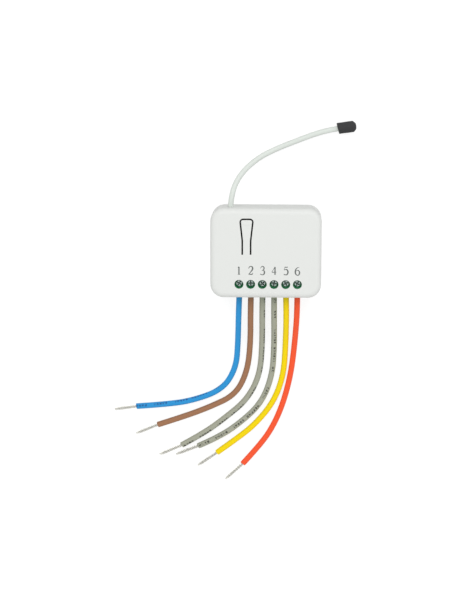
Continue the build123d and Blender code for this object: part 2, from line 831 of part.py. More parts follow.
# The two relays, one for each direction of the motor. In each, the coil pulls
# an iron armature to its core, and the arm of the armature moves a contact from
# the upper fixed contact to the lower one. Heights are counted from the board.
leg_top = relay_height - relay_wall - yoke_headroom
pivot_z = leg_top - yoke_thickness
coil_z = (relay_base_thickness + pivot_z) / 2
yoke_width = relay_width - 2 * yoke_side_room
pole_face_x = relay_length - pole_face_room
arm_end_x = relay_length - arm_end_room
contact_x = relay_length - contact_room
contact_post_x = relay_length - contact_post_room
contact_post_end = relay_width / 2 - relay_wall - contact_post_side_gap
coil_radius = (pivot_z - relay_base_thickness) / 2 - coil_clearance
flange_half = coil_radius + flange_proud
armature_x = pole_face_x + armature_gap
arm_low_z = pivot_z + fit_gap
arm_high_z = arm_low_z + arm_thickness
for relay_name, row_y in relay_rows.items():

    def at(x, y, z):
        """A point of this relay, counted from the low end of its base."""
        return (relay_x + x, row_y + y, board_top + z)

    with BuildPart() as relay_base:
        block(at(0, -relay_width / 2, 0), at(relay_length, relay_width / 2, relay_base_thickness))
        for pin_x, pin_y in relay_pins:
            rod(
                at(pin_x, pin_y, -board_thickness - tail_proud),
                (0, 0, 1),
                relay_pin_radius,
                board_thickness + 2 * tail_proud,
            )
    relay_base.part.label = f"{relay_name}_base"
    export_step(relay_base.part, f"parts/{relay_name}_base.step")

    with BuildPart() as relay_case:
        block(
            at(0, -relay_width / 2, relay_base_thickness),
            at(relay_length, relay_width / 2, relay_height),
        )
        fillet(relay_case.edges().filter_by(Axis.Z), relay_wall)
        block(
            at(relay_wall, -relay_width / 2 + relay_wall, relay_base_thickness),
            at(relay_length - relay_wall, relay_width / 2 - relay_wall, relay_height - relay_wall),
            Mode.SUBTRACT,
        )
    relay_case.part.label = f"{relay_name}_case"
    export_step(relay_case.part, f"parts/{relay_name}_case.step")

    with BuildPart() as relay_yoke:
        block(
            at(yoke_x, -yoke_width / 2, relay_base_thickness),
            at(yoke_x + yoke_thickness, yoke_width / 2, leg_top),
        )
        block(
            at(yoke_x, -yoke_width / 2, pivot_z),
            at(armature_x - yoke_end_gap, yoke_width / 2, leg_top),
        )
        rod(at(yoke_x, 0, coil_z), (1, 0, 0), core_radius, pole_face_x - yoke_x)
    relay_yoke.part.label = f"{relay_name}_yoke"
    export_step(relay_yoke.part, f"parts/{relay_name}_yoke.step")

    coil_start = yoke_x + yoke_thickness + fit_gap
    coil_end = pole_face_x - armature_gap
    with BuildPart() as relay_coil:
        rod(at(coil_start, 0, coil_z), (1, 0, 0), coil_radius, coil_end - coil_start)
        for flange_x in (coil_start, coil_end - flange_thickness):
            block(
                at(flange_x, -flange_half, coil_z - flange_half),
                at(flange_x + flange_thickness, flange_half, coil_z + flange_half),
            )
        rod(
            at(yoke_x, 0, coil_z),
            (1, 0, 0),
            core_radius + core_clearance,
            pole_face_x - yoke_x,
            Mode.SUBTRACT,
        )
    relay_coil.part.label = f"{relay_name}_coil"
    export_step(relay_coil.part, f"parts/{relay_name}_coil.step")

    with BuildPart() as relay_armature:
        block(
            at(armature_x, -yoke_width / 2, armature_low_z),
            at(armature_x + armature_thickness, yoke_width / 2, arm_high_z),
        )
        block(
            at(armature_x, -arm_width / 2, arm_low_z),
            at(arm_end_x, arm_width / 2, arm_high_z),
        )
        rod(
            at(contact_x, 0, arm_low_z - rivet_proud),
            (0, 0, 1),
            rivet_radius,
            arm_thickness + 2 * rivet_proud,
        )
    relay_armature.part.label = f"{relay_name}_armature"
    export_step(relay_armature.part, f"parts/{relay_name}_armature.step")

    closed_z = arm_high_z + rivet_proud + closed_contact_gap
    open_z = arm_low_z - rivet_proud - open_contact_gap
    with BuildPart() as relay_contacts:
        for side, strip_z, face_z in (
            (1, closed_z + rivet_proud / 2, closed_z),
            (-1, open_z - rivet_proud / 2 - contact_strip, open_z - rivet_proud / 2),
        ):
            near_y = side * contact_post_y
            far_y = side * contact_post_end
            reach_y = -side * contact_reach
            block(
                at(contact_post_x, min(near_y, far_y), relay_base_thickness),
                at(contact_post_x + contact_strip, max(near_y, far_y), strip_z + contact_strip),
            )
            block(
                at(contact_x - rivet_radius - fit_gap, min(reach_y, far_y), strip_z),
                at(contact_post_x + contact_strip, max(reach_y, far_y), strip_z + contact_strip),
            )
            rod(at(contact_x, 0, face_z), (0, 0, 1), rivet_radius, rivet_proud / 2)
    relay_contacts.part.label = f"{relay_name}_contacts"
    export_step(relay_contacts.part, f"parts/{relay_name}_contacts.step")

# The power supply: a small transformer, its two capacitors, a rectifier, a
# regulator chip, a fuse and a surge protector.
transformer_x = -board_half_x + part_gap + transformer_length / 2
transformer_y = block_back_y + relay_gap + winding_half_y
core_high_z = board_top + transformer_height
with BuildPart() as transformer_core:
    with BuildSketch(
        Plane(origin=(transformer_x, transformer_y, board_top), x_dir=(1, 0, 0), z_dir=(0, -1, 0))
    ):
        with Locations((0, transformer_height / 2)):
            Rectangle(transformer_length, transformer_height)
        window = (transformer_length - 2 * core_leg - core_middle_leg) / 2
        for side in (-1, 1):
            with Locations((side * (core_middle_leg + window) / 2, transformer_height / 2)):
                Rectangle(window, transformer_height - 2 * core_leg, mode=Mode.SUBTRACT)
    extrude(amount=transformer_core_width / 2, both=True)
transformer_core.part.label = "transformer_core"
export_step(transformer_core.part, "parts/transformer_core.step")

winding_half_x = transformer_length / 2 - core_leg - winding_clearance
winding_low_z = board_top + core_leg + winding_clearance
winding_high_z = core_high_z - core_leg - winding_clearance
with BuildPart() as transformer_winding:
    block(
        (transformer_x - winding_half_x, transformer_y - winding_half_y, winding_low_z),
        (transformer_x + winding_half_x, transformer_y + winding_half_y, winding_high_z),
    )
    fillet(transformer_winding.edges().filter_by(Axis.Z), winding_bulge / 2)
    block(
        (
            transformer_x - core_middle_leg / 2 - winding_clearance,
            transformer_y - transformer_core_width / 2 - winding_clearance,
            board_top,
        ),
        (
            transformer_x + core_middle_leg / 2 + winding_clearance,
            transformer_y + transformer_core_width / 2 + winding_clearance,
            core_high_z,
        ),
        Mode.SUBTRACT,
    )
transformer_winding.part.label = "transformer_winding"
export_step(transformer_winding.part, "parts/transformer_winding.step")

mains_capacitor_x = transformer_x + transformer_length / 2 + mains_capacitor_radius + mains_capacitor_gap
mains_capacitor_y = block_back_y + relay_gap + mains_capacitor_radius
with BuildPart() as mains_capacitor:
    rod(
        (mains_capacitor_x, mains_capacitor_y, board_top),
        (0, 0, 1),
        mains_capacitor_radius,
        inner_top - board_top - capacitor_headroom,
    )
    fillet(mains_capacitor.edges().filter_by(GeomType.CIRCLE), mains_capacitor_radius / 10)
mains_capacitor.part.label = "mains_capacitor"
export_step(mains_capacitor.part, "parts/mains_capacitor.step")

output_capacitor_x = (radio_board_high_x + relay_x) / 2
with BuildPart() as output_capacitor:
    rod(
        (output_capacitor_x, relay_rows["relay_up"], board_top),
        (0, 0, 1),
        output_capacitor_radius,
        output_capacitor_height,
    )
    fillet(output_capacitor.edges().filter_by(GeomType.CIRCLE), output_capacitor_radius / 8)
output_capacitor.part.label = "output_capacitor"
export_step(output_capacitor.part, "parts/output_capacitor.step")

# Two flat chips with legs, in the space under the radio board.
chip_y = header_long_y + header_width / 2 + chip_past_header
bridge_x = radio_board_low_x + bridge_inset
supply_chip_x = radio_board_high_x - supply_chip_inset
for chip_name, chip_x, chip_length, body_height, leg_pairs in (
    ("rectifier_bridge", bridge_x, bridge_length, bridge_height, bridge_leg_pairs),
    ("supply_chip", supply_chip_x, supply_chip_length, supply_chip_height, supply_chip_leg_pairs),
):
    with BuildPart() as chip:
        with Locations((chip_x, chip_y, board_top + fit_gap)):
            Box(chip_length, chip_width, body_height, align=(Align.CENTER, Align.CENTER, Align.MIN))
        chamfer(chip.faces().sort_by(Axis.Z)[-1].edges(), chip_width / 10)
        with Locations((chip_x, chip_y, board_top)):
            with GridLocations(chip_length / leg_pairs, chip_width + chip_leg_reach, leg_pairs, 2):
                Box(
                    chip_leg_width,
                    chip_leg_length,
                    body_height / 2,
                    align=(Align.CENTER, Align.CENTER, Align.MIN),
                )
    chip.part.label = chip_name
    export_step(chip.part, f"parts/{chip_name}.step")

# The surge protector stands on its two leads, and the fuse lies on its own.
loose_y = (relay_rows["relay_up"] + relay_width / 2 + board_half_y) / 2 + loose_shift_y
varistor_x = relay_x + varistor_radius
varistor_z = board_top + lead_lift + varistor_radius
with BuildPart() as varistor:
    rod(
        (varistor_x, loose_y - varistor_thickness / 2, varistor_z),
        (0, 1, 0),
        varistor_radius,
        varistor_thickness,
    )
    fillet(varistor.edges().filter_by(GeomType.CIRCLE), varistor_thickness / 4)
    for side in (-1, 1):
        rod(
            (varistor_x + side * varistor_lead_spread, loose_y, board_top),
            (0, 0, 1),
            lead_radius,
            varistor_z - board_top,
        )
varistor.part.label = "varistor"
export_step(varistor.part, "parts/varistor.step")

fuse_low_x = varistor_x + varistor_radius + fuse_gap
fuse_high_x = post_x - post_radius - fuse_post_gap - 3 * lead_radius
fuse_length = fuse_high_x - fuse_low_x
fuse_x = (fuse_low_x + fuse_high_x) / 2
fuse_z = board_top + lead_lift + fuse_radius
with BuildPart() as fuse_resistor:
    rod((fuse_x - fuse_length / 2, loose_y, fuse_z), (1, 0, 0), fuse_radius, fuse_length)
    fillet(fuse_resistor.edges().filter_by(GeomType.CIRCLE), fuse_radius / 3)
    lead_reach = fuse_length / 2 + 2 * lead_radius
    rod((fuse_x - lead_reach, loose_y, fuse_z), (1, 0, 0), lead_radius, 2 * lead_reach)
    for side in (-1, 1):
        rod(
            (fuse_x + side * lead_reach, loose_y, board_top),
            (0, 0, 1),
            lead_radius,
            fuse_z - board_top + lead_radius,
        )
fuse_resistor.part.label = "fuse_resistor"
export_step(fuse_resistor.part, "parts/fuse_resistor.step")

tab_travel = math.degrees(math.atan2(button_travel, button_y - tab_root_y))
print("tab travel in degrees", round(tab_travel, 3), "lever arm", button_y - tab_root_y)
print("wire axis z", round(wire_z, 3), "cage", round(cage_low_z, 3), round(cage_high_z, 3))
print("armature pivot", relay_x + armature_x, list(relay_rows.values()), board_top + pivot_z)
print("tab root z", inner_top + front_thickness / 2, "poles", [round(x, 2) for x in poles])
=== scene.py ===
# %% [markdown]
# A small radio module that sits behind a wall switch and drives a roller
# shutter. It lies on its back, seen from straight in front: a white moulded
# case, six coloured wires that leave a green terminal block, and a white
# aerial with a black rubber cap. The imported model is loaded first. It fixes
# where everything is, in metres, so each piece made here is placed by it. Sizes
# are written in millimetres, here those of the front face, the row of screws
# and the middle of the press tab, which most cells use.

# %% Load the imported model
import json
import math
import random

import bmesh
import bpy
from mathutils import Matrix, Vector


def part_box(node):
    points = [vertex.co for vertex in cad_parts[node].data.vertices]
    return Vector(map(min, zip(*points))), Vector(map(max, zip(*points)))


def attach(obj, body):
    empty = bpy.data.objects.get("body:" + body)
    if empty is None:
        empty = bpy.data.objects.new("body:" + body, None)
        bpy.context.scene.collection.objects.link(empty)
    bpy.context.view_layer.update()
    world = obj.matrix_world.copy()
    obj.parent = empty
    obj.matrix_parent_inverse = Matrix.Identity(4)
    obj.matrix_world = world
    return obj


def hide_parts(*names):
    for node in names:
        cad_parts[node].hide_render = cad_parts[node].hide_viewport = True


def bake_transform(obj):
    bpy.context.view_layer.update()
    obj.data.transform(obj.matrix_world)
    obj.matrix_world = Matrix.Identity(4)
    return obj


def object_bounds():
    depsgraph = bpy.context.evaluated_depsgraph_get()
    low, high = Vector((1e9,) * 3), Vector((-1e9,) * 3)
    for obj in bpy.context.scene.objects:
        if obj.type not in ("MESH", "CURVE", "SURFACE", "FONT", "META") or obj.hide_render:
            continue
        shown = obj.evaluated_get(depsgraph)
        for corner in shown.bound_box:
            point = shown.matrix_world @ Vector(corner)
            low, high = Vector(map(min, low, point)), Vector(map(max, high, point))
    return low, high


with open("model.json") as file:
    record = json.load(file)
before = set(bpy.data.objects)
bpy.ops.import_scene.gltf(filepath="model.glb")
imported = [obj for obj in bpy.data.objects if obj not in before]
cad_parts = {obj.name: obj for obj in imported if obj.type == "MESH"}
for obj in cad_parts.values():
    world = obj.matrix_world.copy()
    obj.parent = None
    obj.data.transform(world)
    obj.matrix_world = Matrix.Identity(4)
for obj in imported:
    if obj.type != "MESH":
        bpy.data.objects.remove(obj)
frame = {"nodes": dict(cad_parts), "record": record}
case_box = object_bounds()
scene = bpy.context.scene
mm = 0.001
face_z = 18.4
pole_y = -13.5
tab_x = -8.34


def place_object(name, data):
    """A new object in the scene."""
    made = bpy.data.objects.new(name, data)
    scene.collection.objects.link(made)
    return made


box_in_mm = [[round(value / mm, 1) for value in corner] for corner in case_box]
print("solids", len(frame["nodes"]), "box", box_in_mm)

# %% [markdown]
# The photograph was taken from about 70 cm away with a long lens, slightly
# above the middle of the module. The four sides of the case, the six holes
# and the wire ends gave this camera, so the module has the same slight
# perspective: a narrow band of its near side shows, and the deep holes show
# more of one wall than of the other. The rotation order turns Z first.

# %% Place the camera
camera_data = bpy.data.cameras.new("camera")
camera_data.lens = 96.51
camera = place_object("camera", camera_data)
camera.location = (0.011942, 0.100658, 0.70778)
camera.rotation_mode = "ZYX"
camera.rotation_euler = [math.radians(turn) for turn in (-9.96178, 2.06198, 0.45196)]
scene.camera = camera
print("camera looks along", camera.rotation_euler.to_matrix() @ Vector((0, 0, -1)))

# %% [markdown]
# Each wire leaves its clamp level, bends down to the table and lies there in
# a loose curve. A NURBS spline is the natural form for that: it passes near
# its control points as a stiff wire passes near where fingers pushed it, with
# no corners. The last two points of a wire lie on its straight end. Where a
# wire turns down it leans a few tenths of a millimetre sideways, as the clamp
# and its hand-bent curve let it.

# %% The routes of the six wires and the aerial, in millimetres
first_pole_x = -11.57
pole_pitch = 5.08
pole_xs = [first_pole_x + pole_pitch * index for index in range(6)]
jacket_start_y = -16.95
turn_down_y = -26.5
clamp_z = 9.3
wire_length = 90.0
wire_diameter = 2.6
wire_radius = wire_diameter / 2
colours = ("blue", "brown", "grey_1", "grey_2", "yellow", "red")
sideways = dict(zip(colours, (-0.4, -0.25, -0.15, -0.05, 0.4, 0.1)))
table_points = {
    "blue": ((-12.5, -43), (-13.4, -54.5), (-19.5, -64.5), (-33.5, -69.8), (-46, -71.6), (-58.5, -72.55)),
    "brown": ((-6.9, -43), (-8.3, -56), (-13.6, -66.8), (-25.3, -72.6), (-37.2, -77.2), (-48.85, -81.05)),
    "grey_1": ((-1.6, -43), (-2.65, -57.5), (-8.4, -69), (-18.4, -77.6), (-28.05, -84.85), (-38.1, -90.5)),
    "grey_2": ((3.75, -43), (3, -57.5), (-1.9, -70.5), (-11.6, -79.9), (-21.5, -86.7), (-30.55, -90.8)),
    "yellow": ((8.85, -43), (8, -57.5), (3.6, -70), (-4.9, -80.6), (-13.6, -87.6), (-22, -93.8)),
    "red": ((12.9, -43), (11.2, -57.5), (7.6, -71.5), (2.5, -83), (-4, -91.8), (-10.35, -98.95)),
}
wire_routes = {}
for pole_x, colour in zip(pole_xs, colours):
    wire_routes[colour] = [
        (pole_x, jacket_start_y, clamp_z),
        (pole_x + sideways[colour], turn_down_y, clamp_z),
        *((x, y, wire_radius) for x, y in table_points[colour]),
    ]
aerial_route = [
    (-15.7, 14.35, 11.7),
    (-15.7, 23.3, 11.7),
    (-12.15, 32.8, 7.8),
    (-4.1, 40.1, 3.2),
    (4.6, 44.3, 1.2),
    (12, 47.2, 1.2),
    (20, 50.3, 1.2),
    (28, 52.75, 2.5),
    (35.5, 53.75, 2.5),
]


def spline_mesh(name, splines, steps, thickness=0.0):
    """A mesh of NURBS splines, each a list of x, y, z and share of the thickness, or of plain lines."""
    curve = bpy.data.curves.new(name, "CURVE")
    curve.dimensions = "3D"
    curve.resolution_u = steps
    curve.bevel_depth = thickness * mm
    curve.bevel_resolution = 2
    curve.use_fill_caps = True
    for places in splines:
        spline = curve.splines.new("NURBS")
        spline.points.add(len(places) - 1)
        for point, (x, y, z, share) in zip(spline.points, places):
            point.co = (x * mm, y * mm, z * mm, 1)
            point.radius = share
        spline.order_u = 3
        spline.use_endpoint_u = True
    holder = place_object(name, curve)
    bpy.context.view_layer.update()
    mesh = bpy.data.meshes.new_from_object(holder)
    bpy.data.objects.remove(holder)
    return mesh


def line_along(name, route):
    """The points of the smooth line that a cord follows."""
    mesh = spline_mesh(name, [[(x, y, z, 1) for x, y, z in route]], steps=18)
    points = [vertex.co.copy() for vertex in mesh.vertices]
    bpy.data.meshes.remove(mesh)
    return points


def distances(points):
    """How far each point is along its line, in millimetres."""
    found = [0.0]
    for a, b in zip(points, points[1:]):
        found.append(found[-1] + (b - a).length / mm)
    return found


wire_lines = {colour: line_along(f"{colour}_route", route) for colour, route in wire_routes.items()}
aerial_line = line_along("aerial_route", aerial_route)
print("wire lengths", {colour: round(distances(line)[-1], 1) for colour, line in wire_lines.items()})
print("aerial length", round(distances(aerial_line)[-1], 1))

# %% [markdown]
# Colours are written as they look on a screen, from 0 to 255, and Blender
# wants them linear. Every finish is built from node groups that put out a
# varied colour, roughness and surface normal, and each material gives the
# group its own values. Texture coordinates are the object's own, in metres,
# so a grain of 0.3 mm is 0.3 mm on every piece.

# %% Helpers for materials
def screen_colour(red, green, blue):
    """A linear colour from its screen values."""
    linear = []
    for value in (red, green, blue):
        share = value / 255
        linear.append(share / 12.92 if share <= 0.04045 else ((share + 0.055) / 1.055) ** 2.4)
    return (*linear, 1.0)


def place_node(tree, kind, values=None, **settings):
    """A new node with its settings and input values; a value may be another node's output."""
    node = tree.nodes.new(kind)
    for name, value in settings.items():
        setattr(node, name, value)
    for name, value in (values or {}).items():
        if isinstance(value, bpy.types.NodeSocket):
            tree.links.new(value, node.inputs[name])
        else:
            node.inputs[name].default_value = value
    return node


def calculate(tree, operation, *values):
    """The output of a Math node."""
    return place_node(tree, "ShaderNodeMath", dict(enumerate(values)), operation=operation).outputs[0]


surface_outputs = (("Color", "Color"), ("Roughness", "Float"), ("Normal", "Vector"))


def start_group(name, inputs, outputs=surface_outputs):
    """A shader group with the named inputs and outputs, and the sockets that its inputs give."""
    group = bpy.data.node_groups.new(name, "ShaderNodeTree")
    for title, value in inputs.items():
        kind = "NodeSocketColor" if isinstance(value, tuple) else "NodeSocketFloat"
        socket = group.interface.new_socket(title, in_out="INPUT", socket_type=kind)
        socket.default_value = value
    for title, kind in outputs:
        group.interface.new_socket(title, in_out="OUTPUT", socket_type=f"NodeSocket{kind}")
    return group, group.nodes.new("NodeGroupInput").outputs


def end_group(group, colour, roughness, height, depth):
    """Joins the group's outputs. height is a bump in shares of depth, which is in millimetres."""
    distance = calculate(group, "MULTIPLY", depth, mm)
    bump = place_node(group, "ShaderNodeBump", {"Height": height, "Distance": distance, "Strength": 1.0})
    surface = {"Color": colour, "Roughness": roughness, "Normal": bump.outputs["Normal"]}
    place_node(group, "NodeGroupOutput", surface)


def noise(tree, place, size, detail=2.0, roughness=0.5):
    """Noise whose grains are size millimetres across; size may be a socket."""
    scale = calculate(tree, "DIVIDE", 1 / mm, size)
    values = {"Vector": place, "Scale": scale, "Detail": detail, "Roughness": roughness}
    return place_node(tree, "ShaderNodeTexNoise", values).outputs["Fac"]


def around_middle(tree, factor, amount):
    """How far noise is from its middle, times amount."""
    return calculate(tree, "MULTIPLY", calculate(tree, "SUBTRACT", factor, 0.5), amount)


def two_tones(tree, first, second, amount, share=1.0):
    """How far two noises are from their middles, times amount. The second counts by its share."""
    of_second = around_middle(tree, second, calculate(tree, "MULTIPLY", amount, share))
    return calculate(tree, "ADD", around_middle(tree, first, amount), of_second)


def shaded(tree, colour, change):
    """The colour, made lighter or darker by a share."""
    inputs = {"Color": colour, "Value": calculate(tree, "ADD", change, 1.0)}
    return place_node(tree, "ShaderNodeHueSaturation", inputs).outputs["Color"]


def mixed(tree, share, below, above):
    """The colour below with a share of the colour above on it."""
    inputs = {"Factor": share, "A": below, "B": above}
    return place_node(tree, "ShaderNodeMix", inputs, data_type="RGBA").outputs["Result"]


# %% [markdown]
# Moulded plastic copies the fine spark-eroded grain of its mould and is a
# little uneven in tone over a few millimetres, where the melt flowed. The
# group has a fine noise for the grain and a wide one for the tone. The same
# group, with other sizes, makes the rubber, the ferrite and the dipped coats.

# %% The moulded grain
moulded_grain, given = start_group(
    "moulded grain",
    {
        "Color": (0.8, 0.8, 0.8, 1.0),
        "Grain size": 0.3,
        "Grain depth": 0.01,
        "Tone change": 0.03,
        "Roughness": 0.5,
        "Roughness change": 0.1,
    },
)
tree = moulded_grain
place = tree.nodes.new("ShaderNodeTexCoord").outputs["Object"]
grain = noise(tree, place, given["Grain size"], 3.0, 0.6)
tone = noise(tree, place, 9.0)
tone_change = two_tones(tree, tone, grain, given["Tone change"], 0.5)
rough = calculate(tree, "ADD", given["Roughness"], around_middle(tree, grain, given["Roughness change"]))
end_group(tree, shaded(tree, given["Color"], tone_change), rough, grain, given["Grain depth"])

# %% [markdown]
# Pressed, turned and drawn metal shows fine lines along the way that it was
# worked, and a plated coat has slightly duller patches. The lines are noise
# squeezed along one direction of the piece.

# %% The drawn metal
drawn_metal, given = start_group(
    "drawn metal",
    {
        "Color": (0.6, 0.6, 0.6, 1.0),
        "Line width": 0.05,
        "Line depth": 0.002,
        "Tone change": 0.15,
        "Roughness": 0.35,
        "Roughness change": 0.25,
    },
)
tree = drawn_metal
place = tree.nodes.new("ShaderNodeTexCoord").outputs["Object"]
squeezed = place_node(tree, "ShaderNodeMapping", {"Vector": place, "Scale": (0.12, 1.0, 1.0)})
lines = noise(tree, squeezed.outputs["Vector"], given["Line width"], 2.0)
patches = noise(tree, place, 1.4, 3.0)
tone_change = two_tones(tree, lines, patches, given["Tone change"])
rough = calculate(tree, "ADD", given["Roughness"], around_middle(tree, patches, given["Roughness change"]))
end_group(tree, shaded(tree, given["Color"], tone_change), rough, lines, given["Line depth"])

# %% [markdown]
# A wire's jacket is extruded: its marks run along it, and it is satin. On
# three of the wires the photograph shows small printed marks in a row. They
# are too small to read, and words don't belong on a reusable part, so they
# are meaningless specks of ink here: blocks in groups of three to six, each
# cut into its own shape by a fine noise. The marks need to know where they
# are on the wire, so the tubes made below carry a map named "run" with the
# distance along the wire in millimetres and the turn around it.

# %% The extruded sleeve
speck_pitch = 1.35
speck_share = 0.7
speck_half_turn = 0.062
specks_in_group = 7
shortest_group, group_spread = 0.29, 0.57
ink_gone, ink_whole = 0.42, 0.5
extruded_sleeve, given = start_group(
    "extruded sleeve",
    {
        "Color": (0.5, 0.5, 0.5, 1.0),
        "Ink": (0.1, 0.1, 0.1, 1.0),
        "Ink strength": 0.0,
        "Ink turn at start": 0.0,
        "Ink turn change": 0.0,
        "Roughness": 0.42,
        "Tone change": 0.05,
    },
)
tree = extruded_sleeve
run_map = place_node(tree, "ShaderNodeUVMap", uv_map="run").outputs["UV"]
run_parts = place_node(tree, "ShaderNodeSeparateXYZ", {"Vector": run_map}).outputs
along, turn = run_parts["X"], run_parts["Y"]
die_place = place_node(tree, "ShaderNodeMapping", {"Vector": run_map, "Scale": (0.0004, 0.012, 0.0)})
die_lines = noise(tree, die_place.outputs["Vector"], 0.35, 3.0)
place = tree.nodes.new("ShaderNodeTexCoord").outputs["Object"]
smudge = noise(tree, place, 1.1, 3.0)
tone_change = two_tones(tree, die_lines, smudge, given["Tone change"], 0.6)
specks_along = calculate(tree, "DIVIDE", along, speck_pitch)
groups_along = calculate(tree, "DIVIDE", specks_along, specks_in_group)
speck = calculate(tree, "LESS_THAN", calculate(tree, "FRACT", specks_along), speck_share)
group_chance = place_node(
    tree,
    "ShaderNodeTexWhiteNoise",
    {"W": calculate(tree, "FLOOR", groups_along)},
    noise_dimensions="1D",
).outputs["Value"]
group_end = calculate(tree, "ADD", calculate(tree, "MULTIPLY", group_chance, group_spread), shortest_group)
in_group = calculate(tree, "LESS_THAN", calculate(tree, "FRACT", groups_along), group_end)
printed = calculate(tree, "MULTIPLY", speck, in_group)
turned = calculate(tree, "MULTIPLY", calculate(tree, "DIVIDE", along, wire_length), given["Ink turn change"])
ink_turn = calculate(tree, "ADD", given["Ink turn at start"], turned)
beside = calculate(tree, "ABSOLUTE", calculate(tree, "SUBTRACT", turn, ink_turn))
in_row = calculate(tree, "LESS_THAN", beside, speck_half_turn)
cut = noise(tree, place, 0.55, 1.0)
wear = {"Value": cut, "From Min": ink_gone, "From Max": ink_whole, "To Min": 0.1, "To Max": 1.0}
worn = place_node(tree, "ShaderNodeMapRange", wear).outputs["Result"]
strength = calculate(tree, "MULTIPLY", worn, given["Ink strength"])
ink_share = calculate(tree, "MULTIPLY", calculate(tree, "MULTIPLY", printed, in_row), strength)
inked = mixed(tree, ink_share, shaded(tree, given["Color"], tone_change), given["Ink"])
sleeve_rough = calculate(tree, "ADD", given["Roughness"], around_middle(tree, smudge, 0.12))
end_group(tree, inked, sleeve_rough, die_lines, 0.006)

# %% [markdown]
# On a bare strand the side that faces out carries a painted highlight, and the
# sides that lie against the next strands carry painted shade. The strands carry
# the same map as the jackets, and its turn is 0 where a strand faces out.

# %% The twisted strand
highlight_half_turn, shade_half_turn = 0.12, 0.22
twisted_strand, given = start_group(
    "twisted strand",
    {
        "Color": (0.7, 0.7, 0.65, 1.0),
        "Groove shade": (0.1, 0.1, 0.1, 1.0),
        "Tone change": 0.2,
        "Roughness": 0.3,
    },
)
tree = twisted_strand
run_map = place_node(tree, "ShaderNodeUVMap", uv_map="run").outputs["UV"]
turn = place_node(tree, "ShaderNodeSeparateXYZ", {"Vector": run_map}).outputs["Y"]
# Painted highlight where the strand faces out, and painted shade away from there.
shade_range = {"Value": calculate(tree, "ABSOLUTE", turn), "From Min": highlight_half_turn, "From Max": shade_half_turn}
strand_shade = place_node(tree, "ShaderNodeMapRange", shade_range).outputs["Result"]
place = tree.nodes.new("ShaderNodeTexCoord").outputs["Object"]
patches = noise(tree, place, 1.4, 3.0)
tone_change = around_middle(tree, patches, given["Tone change"])
lit_and_shaded = mixed(tree, strand_shade, shaded(tree, given["Color"], tone_change), given["Groove shade"])
rough = calculate(tree, "ADD", given["Roughness"], around_middle(tree, patches, 0.2))
end_group(tree, lit_and_shaded, rough, patches, 0.002)
print("node groups", [group.name for group in bpy.data.node_groups])

# %% [markdown]
# Three places are darker than the rest of their piece, as painted shade. The
# thin slot round the press tab shows as a dark brown line, so its walls carry
# painted shade, and so does the board below it. The screws carry painted
# shade below their bright tops, in the cross and down their holes. This group
# darkens a colour inside an upright box and below a height, so one group does for all.

# %% The painted shade in slots and recesses
pocket_shade, given = start_group(
    "painted pocket shade",
    {
        "Color": (0.8, 0.8, 0.8, 1.0),
        "Painted shade": (0.05, 0.04, 0.04, 1.0),
        "Middle X": 0.0,
        "Middle Y": 0.0,
        "Half X": 1.0,
        "Half Y": 1.0,
        "Top": 0.0,
        "Fade": 0.1,
        "Amount": 1.0,
    },
    outputs=(("Color", "Color"),),
)
tree = pocket_shade
place = tree.nodes.new("ShaderNodeTexCoord").outputs["Object"]
in_mm = place_node(tree, "ShaderNodeVectorMath", {0: place, 3: 1 / mm}, operation="SCALE").outputs[0]
spot = place_node(tree, "ShaderNodeSeparateXYZ", {"Vector": in_mm}).outputs
inside = given["Amount"]
for axis in "XY":
    off = calculate(tree, "ABSOLUTE", calculate(tree, "SUBTRACT", spot[axis], given[f"Middle {axis}"]))
    within = calculate(tree, "LESS_THAN", off, given[f"Half {axis}"])
    inside = calculate(tree, "MULTIPLY", inside, within)
below = calculate(tree, "SUBTRACT", given["Top"], spot["Z"])
below = calculate(tree, "DIVIDE", below, given["Fade"])
deep = place_node(tree, "ShaderNodeClamp", {"Value": below}).outputs[0]
# The colour darkened here is painted shade.
shaded_in_pocket = mixed(tree, calculate(tree, "MULTIPLY", inside, deep), given["Color"], given["Painted shade"])
place_node(tree, "NodeGroupOutput", {"Color": shaded_in_pocket})

# %% [markdown]
# Each material is one Principled BSDF fed by one of the groups. Values that
# are the same all over, such as metallic, are set on the shader itself.

# %% Make the finishes
plastic_rough_change, metal_rough_change = 0.12, 0.3


def finish_with(name, group, values, metallic=0.0, coat=0.0, specular=0.5):
    """A material whose surface comes from a group, with values in the order of the group's inputs."""
    material = bpy.data.materials.new(name)
    material.use_nodes = True
    tree = material.node_tree
    shader = tree.nodes["Principled BSDF"]
    surface = place_node(tree, "ShaderNodeGroup", dict(enumerate(values)), node_tree=group)
    for output, title in (("Color", "Base Color"), ("Roughness", "Roughness"), ("Normal", "Normal")):
        tree.links.new(surface.outputs[output], shader.inputs[title])
    shader.inputs["Metallic"].default_value = metallic
    shader.inputs["Coat Weight"].default_value = coat
    shader.inputs["Specular IOR Level"].default_value = specular
    return material


def moulded(name, colour, size=0.35, depth=0.006, tone=0.03, rough=0.5, **shader_values):
    """A moulded or dipped finish."""
    values = (screen_colour(*colour), size, depth, tone, rough, plastic_rough_change)
    return finish_with(name, moulded_grain, values, **shader_values)


def metal(name, colour, width=0.06, depth=0.002, tone=0.2, rough=0.35):
    """A bare or plated metal finish."""
    values = (screen_colour(*colour), width, depth, tone, rough, metal_rough_change)
    return finish_with(name, drawn_metal, values, metallic=1.0)


def sleeve(name, colour, ink=(70, 70, 66), strength=0.0, turns=(0.0, 0.0), rough=0.36):
    """The finish of a wire's jacket, with or without a row of ink marks."""
    start, end = turns
    values = (screen_colour(*colour), screen_colour(*ink), strength, start, end - start, rough)
    return finish_with(name, extruded_sleeve, values, specular=0.2)


